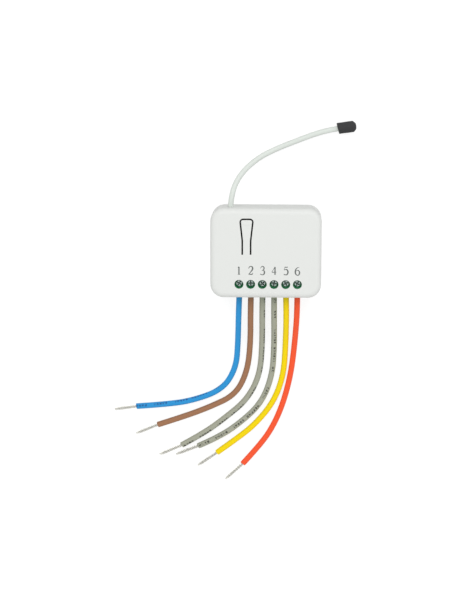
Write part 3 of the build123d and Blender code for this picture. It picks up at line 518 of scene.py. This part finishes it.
white_plastic = {"colour": (229, 231, 228), "size": 0.3, "depth": 0.004, "tone": 0.012, "rough": 0.52}
grey, dark_ink, blue_ink = (168, 170, 153), (48, 47, 44), (36, 74, 140)
slot_finishes = {
    "white_shell": moulded("white moulded shell", **white_plastic),
    "block_green": moulded("green terminal plastic", (28, 138, 84), size=0.25, tone=0.08, rough=0.4),
    "screw_steel": metal("zinc-plated screw", (238, 252, 248), width=0.05, rough=0.42),
    "clamp_steel": metal("pressed clamp steel", (186, 188, 186), rough=0.4),
    "contact_brass": metal("tinned brass", (208, 186, 132), rough=0.34),
    "tinned_copper": metal("tinned copper strands", (208, 206, 194), width=0.12, tone=0.3, rough=0.3),
    "blue_sleeve": sleeve("blue jacket", (46, 152, 218), blue_ink, 0.85, (0.443, 0.03)),
    "brown_sleeve": sleeve("brown jacket", (164, 118, 87)),
    "grey_sleeve": sleeve("grey jacket", grey, dark_ink, 0.95, (-0.16, -0.085)),
    "yellow_sleeve": sleeve("yellow jacket", (250, 220, 0)),
    "red_sleeve": sleeve("red jacket", (253, 91, 51)),
    "antenna_sleeve": sleeve("white aerial jacket", (222, 228, 222), rough=0.4),
    "black_rubber": moulded(
        "black rubber", (54, 55, 56), size=0.5, depth=0.012, tone=0.12, rough=0.72, specular=0.3
    ),
    "board_green": moulded("solder-masked board", (22, 92, 52), size=0.6, tone=0.12, rough=0.36, coat=0.3),
    "black_plastic": moulded("black component plastic", (36, 36, 38), size=0.2, tone=0.1, rough=0.5),
    "shield_tin": metal("tin-plated shield", (206, 206, 200), rough=0.3),
    "iron": metal("soft iron", (138, 134, 130), rough=0.46),
    "ferrite": moulded("sintered ferrite", (60, 60, 62), size=0.12, depth=0.01, tone=0.2, rough=0.62),
    "coil_copper": metal(
        "enamelled winding wire", (190, 112, 62), width=0.14, depth=0.02, tone=0.3, rough=0.3
    ),
    "relay_blue": moulded("blue relay case", (44, 96, 158), size=0.3, tone=0.04, rough=0.34),
    "capacitor_sleeve": moulded(
        "shrunk capacitor sleeve", (36, 38, 46), size=0.8, tone=0.1, rough=0.3, coat=0.4
    ),
    "varistor_blue": moulded(
        "dipped blue coat", (48, 104, 172), size=1.2, depth=0.04, tone=0.08, rough=0.32, coat=0.5
    ),
    "fuse_green": moulded("lacquered green body", (118, 164, 142), size=0.8, tone=0.08, rough=0.34, coat=0.4),
}


def paint_pocket_shade(material, shade_colour, middle, half, top, fade, amount=1.0):
    """Paints shade inside a box of the material, in millimetres, below a height."""
    tree = material.node_tree
    base_colour = tree.nodes["Principled BSDF"].inputs["Base Color"]
    unshaded = base_colour.links[0].from_socket
    values = (unshaded, screen_colour(*shade_colour), *middle, *half, top, fade, amount)
    pocket = place_node(tree, "ShaderNodeGroup", dict(enumerate(values)), node_tree=pocket_shade)
    tree.links.new(pocket.outputs["Color"], base_colour)


# Colours of the painted shade: in the tab's slot, on the board below it and on the screws.
slot_shade, board_shade, screw_shade = (20, 11, 9), (26, 15, 12), (50, 66, 62)
slot_middle, slot_half = (tab_x, 7.2), (3.4, 8.6)
screws_middle, screws_half = (1.1, pole_y), (16, 2)
screw_low_z, screw_top_z = (corner.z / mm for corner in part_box("terminal_screw_1"))
screw_shade_depth = {"top": screw_top_z - 0.1, "fade": 0.5, "amount": 0.85}
# Painted shade on the slot's walls, on the board seen through the slot, and on the screws below their tops.
paint_pocket_shade(slot_finishes["white_shell"], slot_shade, slot_middle, slot_half, face_z - 0.03, fade=0.05)
paint_pocket_shade(slot_finishes["board_green"], board_shade, slot_middle, slot_half, face_z, fade=0.05)
paint_pocket_shade(slot_finishes["screw_steel"], screw_shade, screws_middle, screws_half, **screw_shade_depth)
grey_2_sleeve = sleeve("grey jacket with marks on top", grey, dark_ink, 0.9, (-0.08, 0.02))
# The painted highlight and painted shade colours of the bare strands.
painted_highlight_and_shade = (screen_colour(252, 251, 243), screen_colour(112, 110, 97))
bare_strands = finish_with("tinned strands, twisted", twisted_strand, painted_highlight_and_shade, metallic=1.0)
tab_white = moulded("white moulded tab", **white_plastic)
# The tab's cut edges get painted shade, in the colour of the slot's painted shade.
tab_edge_shade = moulded("painted shade on cut edge", slot_shade, size=0.3, depth=0.004, tone=0.1, rough=0.6, specular=0.0)
number_ink = moulded("grey printing ink", (104, 108, 106), size=0.1, depth=0.001, tone=0.1, rough=0.6)
for subpart in frame["record"]["subparts"]:
    node = frame["nodes"][subpart["node"]]
    node.data.materials.clear()
    node.data.materials.append(slot_finishes[subpart["material_slot"]])

# %% [markdown]
# Tubes, strands and the rubber cap are all rings of points joined by faces.
# One helper makes the mesh from sets of rings; another turns a line into
# directions: forward along it, and to the side and up across it. The wires
# never stand upright, so "up" can always lean on Z.

# %% Helpers for rings
def directions(points):
    """The forward, side and up directions at each point of a line."""
    found = []
    for index in range(len(points)):
        before = points[max(index - 1, 0)]
        after = points[min(index + 1, len(points) - 1)]
        forward = (after - before).normalized()
        side = forward.cross(Vector((0, 0, 1))).normalized()
        found.append((forward, side, side.cross(forward)))
    return found


def mesh_piece(name, mesh, slot_name, body="module", material=None):
    """A mesh as a named piece with its finish, riding on a body."""
    mesh.name = name
    piece = place_object(name, mesh)
    mesh.materials.append(material or slot_finishes[slot_name])
    if body:
        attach(piece, body)
    return piece


def rings_mesh(ring_sets, smooth=True, run_along=None):
    """A mesh from sets of rings. Each ring joins the next, and a ring of one point closes an end."""
    work = bmesh.new()
    run_layer = work.loops.layers.uv.new("run") if run_along else None
    for rings in ring_sets:
        made = [[work.verts.new(point) for point in ring] for ring in rings]
        for index, (first, second) in enumerate(zip(made, made[1:])):
            steps = max(len(first), len(second))
            for step in range(steps):
                onward = (step + 1) % steps
                if len(first) == 1:
                    corners = [first[0], second[onward], second[step]]
                elif len(second) == 1:
                    corners = [first[step], first[onward], second[0]]
                else:
                    corners = [first[step], first[onward], second[onward], second[step]]
                face = work.faces.new(corners)
                face.smooth = smooth
                if run_layer:
                    for loop, row, ahead in zip(face.loops, (0, 0, 1, 1), (0, 1, 1, 0)):
                        share = (step + ahead) / steps
                        loop[run_layer].uv = (run_along[index + row], share - 1 if share > 0.5 else share)
    bmesh.ops.recalc_face_normals(work, faces=work.faces)
    mesh = bpy.data.meshes.new("rings")
    work.to_mesh(mesh)
    work.free()
    return mesh


def angles_round(steps):
    """The angles of evenly spaced points round a ring."""
    return [2 * math.pi * step / steps for step in range(steps)]


def ring(centre, side, up, radius, steps):
    """A ring of points. The first is upwards, and they go round towards the side."""
    outwards = [math.sin(angle) * side + math.cos(angle) * up for angle in angles_round(steps)]
    return [centre + radius * outward for outward in outwards]


def tube_rings(line, radius, steps):
    """The rings of a tube along a line."""
    return [ring(point, side, up, radius, steps) for point, (_, side, up) in zip(line, directions(line))]


def closed(rows):
    """The rings with one middle point added at each end."""
    first = sum(rows[0], Vector()) / len(rows[0])
    last = sum(rows[-1], Vector()) / len(rows[-1])
    return [[first], *rows, [last]]


def part_name(colour, part):
    """The name of one part of a wire: grey_1 and jacket make grey_jacket_1."""
    base, _, number = colour.partition("_")
    return f"{base}_{part}_{number}" if number else f"{base}_{part}"


# %% [markdown]
# A jacket is a plain tube with a clean but not quite square cut at its bare
# end, where a stripping tool nicked it and pulled it off. The cut leans a
# little, its rim is slightly rounded, and the bore shows dark round the
# strands. The tube starts inside the terminal block.

# %% Make the wire jackets
random.seed(4)
around_steps = 32
bore_radius = 0.66
bore_depth = 2.0
rim_round = 0.09
cut_lean = 0.16
cut_ripple = 0.35


def jacket_rings(line, radius):
    """The rings of a tube along a line, over its cut end and into its bore, and each ring's distance."""
    forward, side, up = directions(line)[-1]
    lean_turn = random.uniform(0, 2 * math.pi)
    rings = tube_rings(line, radius * mm, around_steps)[:-1]
    *marks, end_mark = distances(line)
    over_the_end = [
        (-rim_round, radius),
        (0.0, radius - rim_round),
        (0.0, bore_radius + rim_round / 2),
        (-rim_round, bore_radius),
        (-bore_depth, bore_radius),
    ]
    for back, ring_radius in over_the_end:
        cut = ring(line[-1] + forward * back * mm, side, up, ring_radius * mm, around_steps)
        lean = cut_lean * ring_radius / radius
        for angle, point in zip(angles_round(around_steps), cut):
            uneven = math.cos(angle - lean_turn) + cut_ripple * math.cos(3 * angle + lean_turn) - 1
            point += forward * lean * uneven * mm
        rings.append(cut)
        marks.append(end_mark)
    return rings, marks


for colour, line in wire_lines.items():
    rings, marks = jacket_rings(line, wire_radius)
    slot_name = colour.split("_")[0] + "_sleeve"
    material = grey_2_sleeve if colour == "grey_2" else None
    mesh = rings_mesh([rings], run_along=marks)
    mesh_piece(part_name(colour, "jacket"), mesh, slot_name, material=material)
    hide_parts(part_name(colour, "wire"))

# %% [markdown]
# The conductor is a bundle of fine tinned strands, twisted by hand at the
# bare end. A helix for each strand round a core gives the ropy outline that
# a plain rod can't. The bundle closes towards its tip, where it was pinched,
# and no two strands are cut to the same length. Each bundle leaves its jacket
# a little askew, as fingers left it. Inside the jacket nothing of it shows,
# so there one thin core carries on to the clamp.

# %% Make the stranded conductors
tip_lengths = dict(zip(colours, (9.9, 10.7, 10.9, 10.75, 10.75, 10.4)))
tip_leans = dict(zip(colours, (-0.073, -0.077, 0.092, 0.046, 0.024, 0.098)))
strand_count = 6
strand_radius = 0.225
bundle_radius = 0.475
twist_pitch = 8.0
strand_start = -1.6
strand_steps = 44
strand_sides = 10
strand_tip = 0.1
wobble = 0.07
closing_share, closing_length = 0.5, 2.4
core_radius = 0.3
core_sides = 12
core_tip = 0.3
inner_end_y = -11.4


def strand_rings(end, forward, side, up, strand, last, lean, sag):
    """The rings of one strand of the twisted bundle. Each ring starts where the strand faces out."""
    centres, outwards = [], []
    for step in range(strand_steps + 1):
        run = strand_start + (last - strand_start) * step / strand_steps
        closing = 1 - closing_share * max((run - last) / closing_length + 1, 0) ** 1.5
        spread = bundle_radius * closing * (1 + wobble * math.sin(run * 1.7 + strand * 2.1))
        angle = 2 * math.pi * (strand / strand_count + run / twist_pitch)
        beside = math.cos(angle) * spread + lean * max(run, 0)
        above = math.sin(angle) * spread - sag * max(run, 0) ** 2
        centres.append(end + (forward * run + side * beside + up * above) * mm)
        outwards.append(side * math.cos(angle) + up * math.sin(angle))
    rings = [
        ring(centre, outward.cross(forward), outward, strand_radius * mm, strand_sides)
        for centre, outward in zip(centres, outwards)
    ]
    return [[centres[0]], *rings, [centres[-1] + forward * strand_tip * mm]]


for colour, line in wire_lines.items():
    forward, side, up = directions(line)[-1]
    end = line[-1]
    tip_length = tip_lengths[colour]
    lean = tip_leans[colour]
    sag = random.uniform(0.0, 0.003)
    sets = []
    for strand in range(strand_count):
        last = tip_length - random.uniform(0.0, 0.4)
        sets.append(strand_rings(end, forward, side, up, strand, last, lean, sag))
    core_line = [Vector((line[0].x, inner_end_y * mm, clamp_z * mm)), *line]
    for run in (3.0, 6.0, tip_length - 1.2):
        core_line.append(end + (forward * run + side * lean * run - up * sag * run**2) * mm)
    rings = tube_rings(core_line, core_radius * mm, core_sides)
    sets.append([[core_line[0]], *rings, [core_line[-1] + forward * core_tip * mm]])
    mesh = rings_mesh(sets, run_along=range(len(rings) + 2))
    mesh_piece(part_name(colour, "strands"), mesh, "tinned_copper", material=bare_strands)
    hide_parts(part_name(colour, "conductor"))

# %% [markdown]
# The aerial is a thinner, softer wire. Its cap is a short dipped-looking
# rubber sleeve: straight sides, a rim that was cut by hand and stands a bit
# askew, and a far end with a 45 degree shoulder and a low dome. The cap is a
# profile turned round the end of the aerial's own line.

# %% Make the aerial and its cap
aerial_diameter = 2.4
cap_radius = 2.5
cap_length = 8.1
cap_bore_depth = 4.6
cap_steps = 48
rim_askew, askew_length = 0.3, 3.0
cap_uneven = 0.03
cap_profile = [
    (cap_bore_depth - 0.4, 1.21),
    (0.0, 1.23),
    (-0.02, 1.85),
    (0.0, cap_radius - 0.22),
    (0.07, cap_radius - 0.06),
    (0.24, cap_radius),
    (0.7, cap_radius - 0.03),
    (2.4, cap_radius - 0.02),
    (4.6, cap_radius),
    (cap_length - 1.45, cap_radius - 0.01),
    (cap_length - 1.2, cap_radius - 0.1),
    (cap_length - 0.32, cap_radius - 0.98),
    (cap_length - 0.1, cap_radius - 1.4),
    (cap_length - 0.02, 0.5),
    (cap_length, 0.0),
]

aerial_rings = tube_rings(aerial_line, aerial_diameter / 2 * mm, around_steps)
aerial_mesh = rings_mesh([aerial_rings], run_along=distances(aerial_line))
aerial = mesh_piece("aerial_wire", aerial_mesh, "antenna_sleeve")
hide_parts("antenna_wire")

forward, side, up = directions(aerial_line)[-1]
rim = aerial_line[-1] - forward * cap_bore_depth * mm
cap_rings = []
for run, radius in cap_profile:
    centre = rim + forward * run * mm
    if radius == 0:
        cap_rings.append([centre])
        continue
    turned = ring(centre, side, up, radius * mm, cap_steps)
    for angle, point in zip(angles_round(cap_steps), turned):
        near_rim = max(0.0, 1 - run / askew_length)
        askew = rim_askew * near_rim * math.sin(angle) * radius / cap_radius
        uneven = 0.025 * math.sin(2 * angle + 0.9 * run) + 0.015 * math.sin(5 * angle + 2.3 * run)
        outwards = (point - centre).normalized()
        point += forward * askew * mm
        if radius > 1.2:
            point += outwards * (uneven - cap_uneven) * mm
    cap_rings.append(turned)
cap = mesh_piece("aerial_cap", rings_mesh([cap_rings]), "black_rubber")
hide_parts("antenna_cap")
print("aerial and cap", aerial.dimensions / mm, cap.dimensions / mm)

# %% [markdown]
# The cords: each wire with its bare strands, and the aerial with its
# cap. Their lengths are the whole real lengths, as the photograph shows each
# from end to end.

# %% [markdown]
# The press tab is a tongue of the front cover itself, set free by a thin slot
# that runs round it like a hairpin. It bends at its root. The model's solid
# turns in a groove instead, so this piece takes its place: one strip of the
# cover's thickness, with a small pad on its
# head and the post below that reaches the push switch. It is built from rows
# across the strip, each as wide as the tongue is there. Its cut edges carry
# painted shade in a material of their own, which goes down with them when the tab is pressed.

# %% Make the bending tab
tab_root_y, tab_head_y = -0.5, 14.6
tab_bend_y = 5.6
tab_neck_half, tab_head_half, tab_corner = 1.47, 2.56, 0.95
slot_width = 0.7
cover_thickness = 1.6
cover_low_z = face_z - cover_thickness
edge_round = 0.05
bead_radius, bead_half_length = 0.849, 1.46
root_low_y, root_half, root_drop = -0.82, 1.54, 0.003


def tab_half_width(y):
    """Half the tongue's width at a distance up the case."""
    if y < tab_root_y:
        return root_half
    if y <= tab_bend_y:
        return tab_neck_half
    widest_y = tab_head_y - tab_corner
    share = (y - tab_bend_y) / (tab_head_y + slot_width - tab_bend_y)
    half = tab_neck_half + (tab_head_half - tab_neck_half) * share
    if y > widest_y:
        half -= tab_corner - math.sqrt(max(tab_corner**2 - (y - widest_y) ** 2, 0))
    return half


tab_rows = [root_low_y, tab_root_y - 0.01, *(tab_root_y + 0.55 * step for step in range(26))]
tab_rows += [tab_head_y - tab_corner * math.cos(math.radians(angle)) for angle in range(0, 91, 10)]
ring_rows = []
for y in sorted(tab_rows):
    half = tab_half_width(y)
    end_drop = edge_round if y >= tab_head_y - 1e-6 else root_drop if y < tab_root_y else 0
    corner = edge_round if y >= tab_root_y else root_drop
    top = [(half - corner) * share for share in (-1, -0.6, -0.2, 0.2, 0.6, 1)]
    section = [(-half, cover_low_z), (-half, face_z - corner)]
    section += [(x, face_z - end_drop) for x in top]
    section.append((half, face_z - corner))
    section += [(half * share, cover_low_z) for share in (1, 0.4, -0.4)]
    ring_rows.append([Vector((tab_x + x, y, z)) * mm for x, z in section])
bead_rows = []
for x in (-bead_half_length, bead_half_length):
    row = []
    for angle in angles_round(48):
        z = face_z - cover_thickness / 2 + bead_radius * math.sin(angle)
        below_face = min(z, face_z - edge_round)
        row.append(Vector((tab_x + x, tab_root_y + bead_radius * math.cos(angle), below_face)) * mm)
    bead_rows.append(row)
pad_y, pad_half_x, pad_half_y, pad_height, pad_bevel = 13.25, 1.8, 0.85, 0.15, 0.12
pad_squareness = 0.35
pad_rows = []
for z, inset in ((-0.05, 0), (pad_height - pad_bevel / 2, 0), (pad_height, pad_bevel)):
    row = []
    for angle in angles_round(32):
        round_x, round_y = math.cos(angle), math.sin(angle)
        x, y = (math.copysign(abs(value) ** pad_squareness, value) for value in (round_x, round_y))
        x, y = x * (pad_half_x - inset), y * (pad_half_y - inset)
        row.append(Vector((tab_x + x, pad_y + y, face_z + z)) * mm)
    pad_rows.append(row)
post_y, post_radius, post_low_z, post_bevel = 13.0, 1.0, 13.65, 0.15
post_rows = []
for z, inset in ((post_low_z, post_bevel), (post_low_z + post_bevel, 0), (face_z - 1.5, 0)):
    centre = Vector((tab_x, post_y, z)) * mm
    post_rows.append(ring(centre, Vector((1, 0, 0)), Vector((0, 1, 0)), (post_radius - inset) * mm, 24))
tab_parts = [closed(rows) for rows in (ring_rows, bead_rows, pad_rows, post_rows)]
tab_mesh = rings_mesh(tab_parts, smooth=False)
tab = mesh_piece("bending_tab", tab_mesh, "white_shell", body=None, material=tab_white)
# Side faces below the front face take the painted shade.
tab_mesh.materials.append(tab_edge_shade)
for face in tab_mesh.polygons:
    if abs(face.normal.z) < 0.5 and cover_low_z < face.center.z / mm < face_z - edge_round / 2:
        face.material_index = 1
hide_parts("press_tab")
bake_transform(tab)
print("tab", tab.dimensions / mm)

# %% [markdown]
# The clamp screws are small pan-head machine screws. The solid has a plain
# shank and a square-edged cross, which is all that a joint needs, so a fuller
# screw stands for each: a thread that really winds, a rounded head, and a
# cross recess with a worn lead-in and walls that lean inwards to its floor.
# All of it is one stack of rings. Rings in the head's top take the directions
# of the cross's own corners, so that the flat face joins the two shapes.

# %% Make the clamp screws
head_height = 1.2
head_radius, shank_radius = 1.65, 1.25
thread_pitch, thread_depth, thread_levels = 0.45, 0.1, 40
recess_depth, lead_in, floor_dip = 0.7, 0.07, 0.1
shank_chamfer = 0.12
first_turn, turn_step = 20.0, 37.0
corner_splits = 3
cross_inner = 0.25
cross_arm = [(cross_inner, -0.25), (1.0, -0.25), (1.15, -0.11), (1.15, 0.11), (1.0, 0.25)]


def cross_outline(grow, shrink=1.0):
    """The cross's outline, grown sideways and shrunk towards its middle, as points round it."""
    corners = []
    for quarter in range(4):
        cosine, sine = math.cos(quarter * math.pi / 2), math.sin(quarter * math.pi / 2)
        for x, y in cross_arm:
            x, y = cross_inner + (x - cross_inner) * shrink + grow, y + math.copysign(grow, y)
            corners.append(Vector((x * cosine - y * sine, x * sine + y * cosine)))
    points = []
    for index, corner in enumerate(corners):
        onward = corners[(index + 1) % len(corners)]
        points += [corner.lerp(onward, split / corner_splits) for split in range(corner_splits)]
    return points


outline = cross_outline(0.0)
round_count = len(outline)
outline_start = math.atan2(outline[0].y, outline[0].x)
even_turns = [outline_start + turn for turn in angles_round(round_count)]
head_low_z = screw_top_z - head_height
thread_low_z = screw_low_z + shank_chamfer
round_levels = [(screw_low_z, [shank_radius - 2 * thread_depth] * round_count)]
for index in range(thread_levels + 1):
    z = thread_low_z + (head_low_z - thread_low_z) * index / thread_levels
    wind = [(z / thread_pitch - angle / (2 * math.pi)) % 1 for angle in even_turns]
    round_levels.append((z, [shank_radius - thread_depth * 2 * abs(share - 0.5) for share in wind]))
for z, inset in (
    (head_low_z, 0.12),
    (head_low_z + 0.08, 0.0),
    (screw_top_z - 0.55, 0.0),
    (screw_top_z - 0.34, 0.07),
    (screw_top_z - 0.16, 0.2),
    (screw_top_z - 0.04, 0.34),
    (screw_top_z, 0.44),
):
    round_levels.append((z, [head_radius - inset] * round_count))
levels = [(z, radii, even_turns) for z, radii in round_levels]
for depth, grow, shrink in ((0.0, lead_in, 1.0), (0.09, 0.0, 1.0), (recess_depth, -0.07, 0.5)):
    points = cross_outline(grow, shrink)
    turns = [math.atan2(point.y, point.x) for point in points]
    levels.append((screw_top_z - depth, [point.length for point in points], turns))
for number, pole_x in enumerate(pole_xs, start=1):
    turned = math.radians(first_turn + turn_step * number)
    rings = [[Vector((pole_x, pole_y, screw_low_z)) * mm]]
    for z, radii, turns in levels:
        around = [(math.cos(turn + turned), math.sin(turn + turned)) for turn in turns]
        rings.append([Vector((pole_x + r * x, pole_y + r * y, z)) * mm for r, (x, y) in zip(radii, around)])
    rings.append([Vector((pole_x, pole_y, screw_top_z - recess_depth - floor_dip)) * mm])
    screw_mesh = rings_mesh([rings], smooth=False)
    solid = f"terminal_screw_{number}"
    screw = mesh_piece(f"cross_screw_{number}", screw_mesh, "screw_steel", body=solid)
    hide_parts(solid)
print("screw faces", len(screw_mesh.polygons))

# %% [markdown]
# The photograph has printed marks above the screw holes. A reusable part
# carries only plain numbers, so 1 to 6 stand there instead, in the same grey
# ink, the same height and the same kind of letter: thick and thin strokes
# with small feet. Each stroke is a NURBS curve whose points have their own
# thickness, pressed flat until it is a film of ink.

# %% Print the numbers
ink_height = 0.018
number_y = -7.45
stroke_weight = 1.45
digit_strokes = {
    1: [
        [(0, 1.7, 0.18), (0, 0, 0.21), (0, -1.65, 0.18)],
        [(-0.55, 1.2, 0.05), (-0.25, 1.4, 0.1), (0, 1.72, 0.12)],
        [(-0.55, -1.7, 0.06), (0, -1.66, 0.09), (0.55, -1.7, 0.06)],
    ],
    2: [
        [(-0.85, 0.95, 0.1), (-0.6, 1.75, 0.13), (0.3, 2.0, 0.14), (0.95, 1.35, 0.22)]
        + [(0.75, 0.35, 0.22), (-0.1, -0.75, 0.13), (-0.9, -1.62, 0.07)],
        [(-0.9, -1.6, 0.12), (0.3, -1.6, 0.17), (0.85, -1.58, 0.14), (0.98, -0.95, 0.05)],
    ],
    3: [
        [(-0.75, 1.05, 0.07), (-0.5, 1.85, 0.12), (0.5, 1.95, 0.15)]
        + [(0.85, 0.95, 0.2), (0.3, 0.2, 0.12), (-0.25, 0.15, 0.06)],
        [(-0.25, 0.2, 0.06), (0.7, 0.25, 0.14), (1.0, -0.75, 0.23)]
        + [(0.6, -1.75, 0.15), (-0.3, -1.85, 0.1), (-0.85, -1.4, 0.15)],
    ],
    4: [
        [(0.4, 1.75, 0.1), (-0.3, 0.55, 0.06), (-0.95, -0.6, 0.08)],
        [(-0.95, -0.62, 0.12), (0.0, -0.62, 0.12), (0.98, -0.62, 0.1)],
        [(0.42, 1.7, 0.18), (0.42, 0, 0.2), (0.42, -1.75, 0.18)],
    ],
    5: [
        [(-0.5, 1.58, 0.13), (0.3, 1.6, 0.15), (0.75, 1.62, 0.13), (0.9, 1.85, 0.04)],
        [(-0.5, 1.55, 0.06), (-0.58, 1.0, 0.06), (-0.68, 0.35, 0.07)],
        [(-0.68, 0.33, 0.07), (0.1, 0.85, 0.15), (0.95, 0.15, 0.2)]
        + [(0.95, -1.2, 0.22), (0.1, -1.95, 0.12), (-0.85, -1.5, 0.14)],
    ],
    6: [
        [(0.75, 1.72, 0.05), (-0.2, 1.5, 0.11), (-0.95, 0.3, 0.2), (-0.95, -1.1, 0.22)]
        + [(-0.3, -1.9, 0.13), (0.6, -1.85, 0.14), (1.0, -0.75, 0.22)]
        + [(0.55, 0.25, 0.14), (-0.25, 0.3, 0.09), (-0.75, -0.25, 0.06)],
    ],
}


def print_number(digit, place_x):
    """One digit as a flat film of ink on the front face."""
    name = f"number_{digit}"
    strokes = [
        [(place_x + x, number_y + y, 0, half * stroke_weight) for x, y, half in stroke]
        for stroke in digit_strokes[digit]
    ]
    mesh = spline_mesh(name, strokes, steps=8, thickness=1.0)
    tallest = max(vertex.co.z for vertex in mesh.vertices)
    for vertex in mesh.vertices:
        vertex.co.z = face_z * mm + vertex.co.z / tallest * ink_height * mm
    mesh.materials.clear()
    return mesh_piece(name, mesh, None, material=number_ink)


numbers = [print_number(digit, pole_x) for digit, pole_x in enumerate(pole_xs, start=1)]
print("numbers", [piece.name for piece in numbers])

# %% [markdown]
# A product photograph like this is taken in a light tent: white all round,
# with a hole in its roof for the camera. So the world is white, and darker
# in a patch straight above, which keeps the flat screw heads from shining
# like mirrors. One large lamp beyond the aerial gives the light a direction.
# The table is white to the camera without lighting the module more: part of
# what the camera sees of it is emission that only camera and mirror-like
# rays meet, and the rest is a pale diffuse that holds a faint shadow.

# %% Light the module
world = bpy.data.worlds.new("soft white room")
world.use_nodes = True
scene.world = world
tree = world.node_tree
tree.nodes.clear()
seen = tree.nodes.new("ShaderNodeLightPath").outputs
seen_directly = calculate(tree, "MAXIMUM", seen["Is Camera Ray"], seen["Is Transmission Ray"])
white = (1, 1, 1, 1)
tent_strength, roof_hole_strength = 0.93, 0.4
hole_rim, hole_middle = 0.86, 0.97
direction = tree.nodes.new("ShaderNodeTexCoord").outputs["Generated"]
upwards = place_node(tree, "ShaderNodeSeparateXYZ", {"Vector": direction}).outputs["Z"]
hole = {"From Min": hole_rim, "From Max": hole_middle, "To Min": tent_strength, "To Max": roof_hole_strength}
tent = place_node(tree, "ShaderNodeMapRange", {"Value": upwards, **hole}).outputs["Result"]
room_light = place_node(tree, "ShaderNodeBackground", {"Color": white, "Strength": tent})
room_seen = place_node(tree, "ShaderNodeBackground", {"Color": white, "Strength": 1.0})
rooms = {0: seen_directly, 1: room_light.outputs[0], 2: room_seen.outputs[0]}
room = place_node(tree, "ShaderNodeMixShader", rooms)
place_node(tree, "ShaderNodeOutputWorld", {"Surface": room.outputs[0]})

lamp_data = bpy.data.lights.new("large soft lamp", "AREA")
lamp_data.shape = "DISK"
lamp_data.size = 0.6
lamp_data.energy = 1.95
lamp = place_object("large_soft_lamp", lamp_data)
lamp.location = (0.1, 0.5, 0.75)
lamp.rotation_euler = (Vector((0, -0.02, 0)) - lamp.location).to_track_quat("-Z", "Y").to_euler()
scene.view_settings.view_transform = "Standard"

# %% Lay the white table
table_diffuse = 0.32
table_glow = 0.8
table_half, table_z = 2.0, -0.02 * mm
corners = [(x * table_half, y * table_half, table_z) for x, y in ((-1, -1), (1, -1), (1, 1), (-1, 1))]
table_mesh = bpy.data.meshes.new("white_table")
table_mesh.from_pydata(corners, [], [(0, 1, 2, 3)])
table_top = place_object("white_table", table_mesh)
table_finish = bpy.data.materials.new("white table")
table_finish.use_nodes = True
tree = table_finish.node_tree
tree.nodes.clear()
seen = tree.nodes.new("ShaderNodeLightPath").outputs
rays = calculate(tree, "MAXIMUM", seen["Is Camera Ray"], seen["Is Glossy Ray"])
rays = calculate(tree, "MAXIMUM", rays, seen["Is Transmission Ray"])
paint = place_node(tree, "ShaderNodeBsdfDiffuse", {"Color": (table_diffuse, table_diffuse, table_diffuse, 1)})
glow = place_node(tree, "ShaderNodeEmission", {"Strength": calculate(tree, "MULTIPLY", rays, table_glow)})
both = place_node(tree, "ShaderNodeAddShader", {0: paint.outputs[0], 1: glow.outputs[0]})
place_node(tree, "ShaderNodeOutputMaterial", {"Surface": both.outputs[0]})
table_mesh.materials.append(table_finish)
print("lamp", lamp_data.energy, "table", table_diffuse, table_glow)
